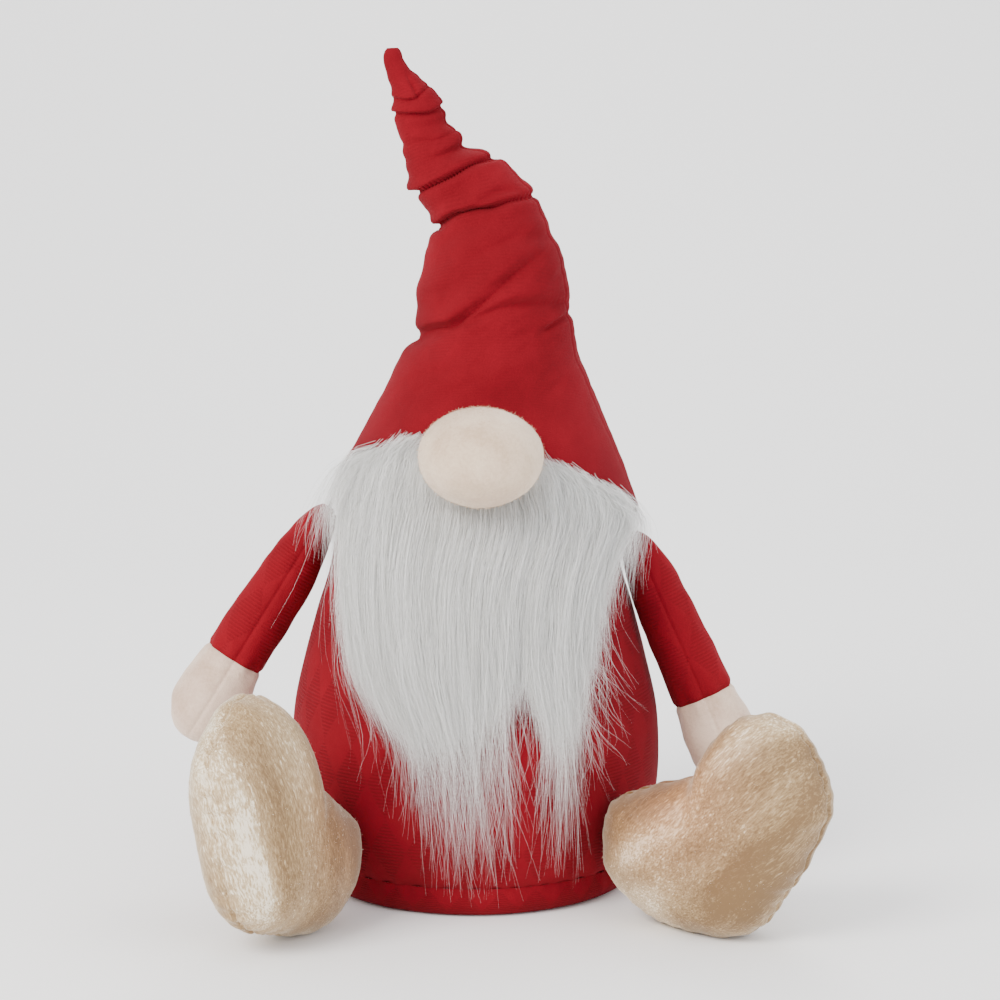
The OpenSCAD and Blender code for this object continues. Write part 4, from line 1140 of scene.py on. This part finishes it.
HAIR_SHARE = 1.0
for name, clumps, each, low, depth, shorter in (
        ("beard_hair_under", 210, 32, -0.1, (0.2, 0.6), 22),
        ("beard_hair_middle", 220, 38, 0.35, (0.45, 1.0), 32),
        ("beard_hair_outer", 230, 48, 0.7, (0.6, 1.25), 30),
        ("beard_hair_top", 120, 46, 0.97, (0.7, 1.0), 0)):
    u = rng.uniform(-1, 1, clumps)
    top = brim_height(flow(u * 0.8, 300.0)) - 2 - (1 - rng.uniform(low, 1, clumps)) * 120
    from_nose = np.abs(flow(u * 0.8, 300.0) - 5)
    under_nose = (from_nose < 45) & (top > 294)
    top = np.where(under_nose, rng.uniform(288, 296, clumps) + 14 * np.clip(from_nose / 45, 0, 1) ** 3, top)
    bottom = np.minimum(dense_end(u) - shorter + rng.gamma(2.0, 9.0, clumps), top - 45)
    if name == "beard_hair_top":
        bottom = top - rng.uniform(45, 110, clumps)
    spines = clump_spines(u, rng.uniform(*depth, clumps), top, bottom, rng.uniform(1.5, 6.0, clumps))
    strands(name, spines, int(each * HAIR_SHARE), 9.0, 3.0, white_hair)

# At the seam the hair stands up over the brim before it falls, so the fur's upper edge is ragged
u = np.concatenate([rng.uniform(-1.02, -0.4, 46), rng.uniform(0.36, 1.02, 64)])
top = brim_height(flow(u, 300.0)) + rng.uniform(-3, 9, len(u))
strands("beard_hair_brim", clump_spines(u, rng.uniform(0.9, 1.2, len(u)), top, top - rng.uniform(35, 95, len(u)),
                                        rng.uniform(2.0, 6.0, len(u)), 0.75),
        int(30 * HAIR_SHARE), 8.0, 4.5, white_hair, stray=0.9)

# Locks hang on below the dense hair, and the longest are so thin that the body shows through them
for name, places, each, share in (("beard_locks", 66, 7, 0.5), ("beard_long_locks", 60, 6, 0.0)):
    u = np.concatenate([rng.uniform(-0.9, 0.27, places), rng.uniform(0.44, 0.9, places // 2)])
    top = rng.uniform(170, 240, len(u))
    bottom = lock_end(u) * (1 - share) + dense_end(u) * share + rng.gamma(1.6, 12.0, len(u)) - 12
    strands(name, clump_spines(u, rng.uniform(0.5, 1.1, len(u)), top, bottom, rng.uniform(3.0, 9.0, len(u))),
            each, 7.0, 2.6 if share else 3.2, white_hair, thick=0.2, stray=1.3)

# Wisps that stray from the ends and the edges
u = np.concatenate([rng.uniform(-1, 1, 110), rng.choice([-1, 1], 90) * rng.uniform(0.86, 1.1, 90)])
top = brim_height(flow(u, 300.0)) - rng.uniform(20, 150, len(u))
wisp_end = np.minimum(lock_end(np.clip(u, -1, 1)) + rng.uniform(-20, 70, len(u)), top - 50)
strands("beard_wisps", clump_spines(u, rng.uniform(0.5, 1.1, len(u)), top, np.maximum(wisp_end, 14),
                                    rng.uniform(4, 14, len(u))),
        4, 8.0, 7.0, white_hair, thick=0.17, stray=2.4)

# A short tuft hangs past the brim at each end of the seam
tufts = []
for path, copies, spread in (
        ([(-84, -46, 311), (-93, -52, 303), (-101, -50, 285), (-106, -44, 262), (-104, -42, 240)], 9, 3.0),
        ([(-78, -56, 313), (-88, -63, 300), (-95, -60, 280), (-97, -55, 255), (-96, -52, 232)], 6, 3.0),
        ([(99, -50, 281), (109, -56, 276), (113, -52, 262), (109, -50, 245), (104, -50, 228)], 8, 5.0),
        ([(90, -61, 287), (101, -68, 277), (104, -68, 258), (100, -66, 235), (96, -66, 215)], 8, 5.0)):
    base = even_steps(curve_through(path, 60), STRAND_POINTS)
    spine = base[None] + rng.normal(0, spread, (copies, 1, 3)) * [1, 1, 1.3]
    tufts.append(spine + rng.normal(0, spread, (copies, 1, 3)) * np.linspace(0, 1, STRAND_POINTS)[None, :, None])
strands("beard_tufts", np.concatenate(tufts), 20, 5.0, 3.0, white_hair, thick=0.19, stray=1.3, lifts=False)


# ---- Inside ----
# Under the cloth are a bent steel wire in each part of the hat, a bag of plastic pellets that weighs the
# base down, and the tack threads that hold the arms and boots.
lining, tree = new_material("undyed cotton lining")
weave_place = node(tree, "ShaderNodeTexCoord").outputs["Object"]
weave = node(tree, "ShaderNodeTexVoronoi", {"Vector": weave_place, "Scale": 700.0})
finish_material(tree, node(tree, "ShaderNodeBsdfPrincipled", {
    "Base Color": ramp(tree, weave.outputs["Distance"], (0.0, "#d3cbbc"), (1.0, "#bdb4a3")),
    "Roughness": 0.9, "Sheen Weight": 0.2}),
    weave.outputs["Distance"], 0.5, 0.3 * MM)

pellets, tree = new_material("polypropylene pellets")
bead_place = node(tree, "ShaderNodeTexCoord").outputs["Object"]
bead = node(tree, "ShaderNodeTexVoronoi", {"Vector": bead_place, "Scale": 330.0})
finish_material(tree, node(tree, "ShaderNodeBsdfPrincipled", {
    "Base Color": ramp(tree, bead.outputs["Distance"], (0.0, "#efece5"), (1.0, "#c9c5bb")),
    "Roughness": 0.45}), bead.outputs["Distance"], 1.0, 1.5 * MM)

wire, tree = new_material("annealed steel wire")
drawn_lines = node(tree, "ShaderNodeTexNoise", {
    "Vector": node(tree, "ShaderNodeTexCoord").outputs["Object"], "Scale": 800.0, "Detail": 3.0})
finish_material(tree, node(tree, "ShaderNodeBsdfPrincipled", {
    "Base Color": linear("#8f8f8c"), "Metallic": 1.0, "Roughness": ranged(tree, drawn_lines.outputs["Fac"], to_low=0.3, to_high=0.55)}))

for material, names in (
        (wire, ("hat_lower_wire", "hat_middle_wire", "hat_upper_wire", "hat_tip_wire")),
        (lining, ("weight_bag",)), (pellets, ("weight_pellets",)),
        (dark_thread, ("left_shoulder_thread", "right_shoulder_thread"))):
    for name in names:
        inner = bpy.data.objects[name]
        inner.data.materials.clear()
        inner.data.materials.append(material)
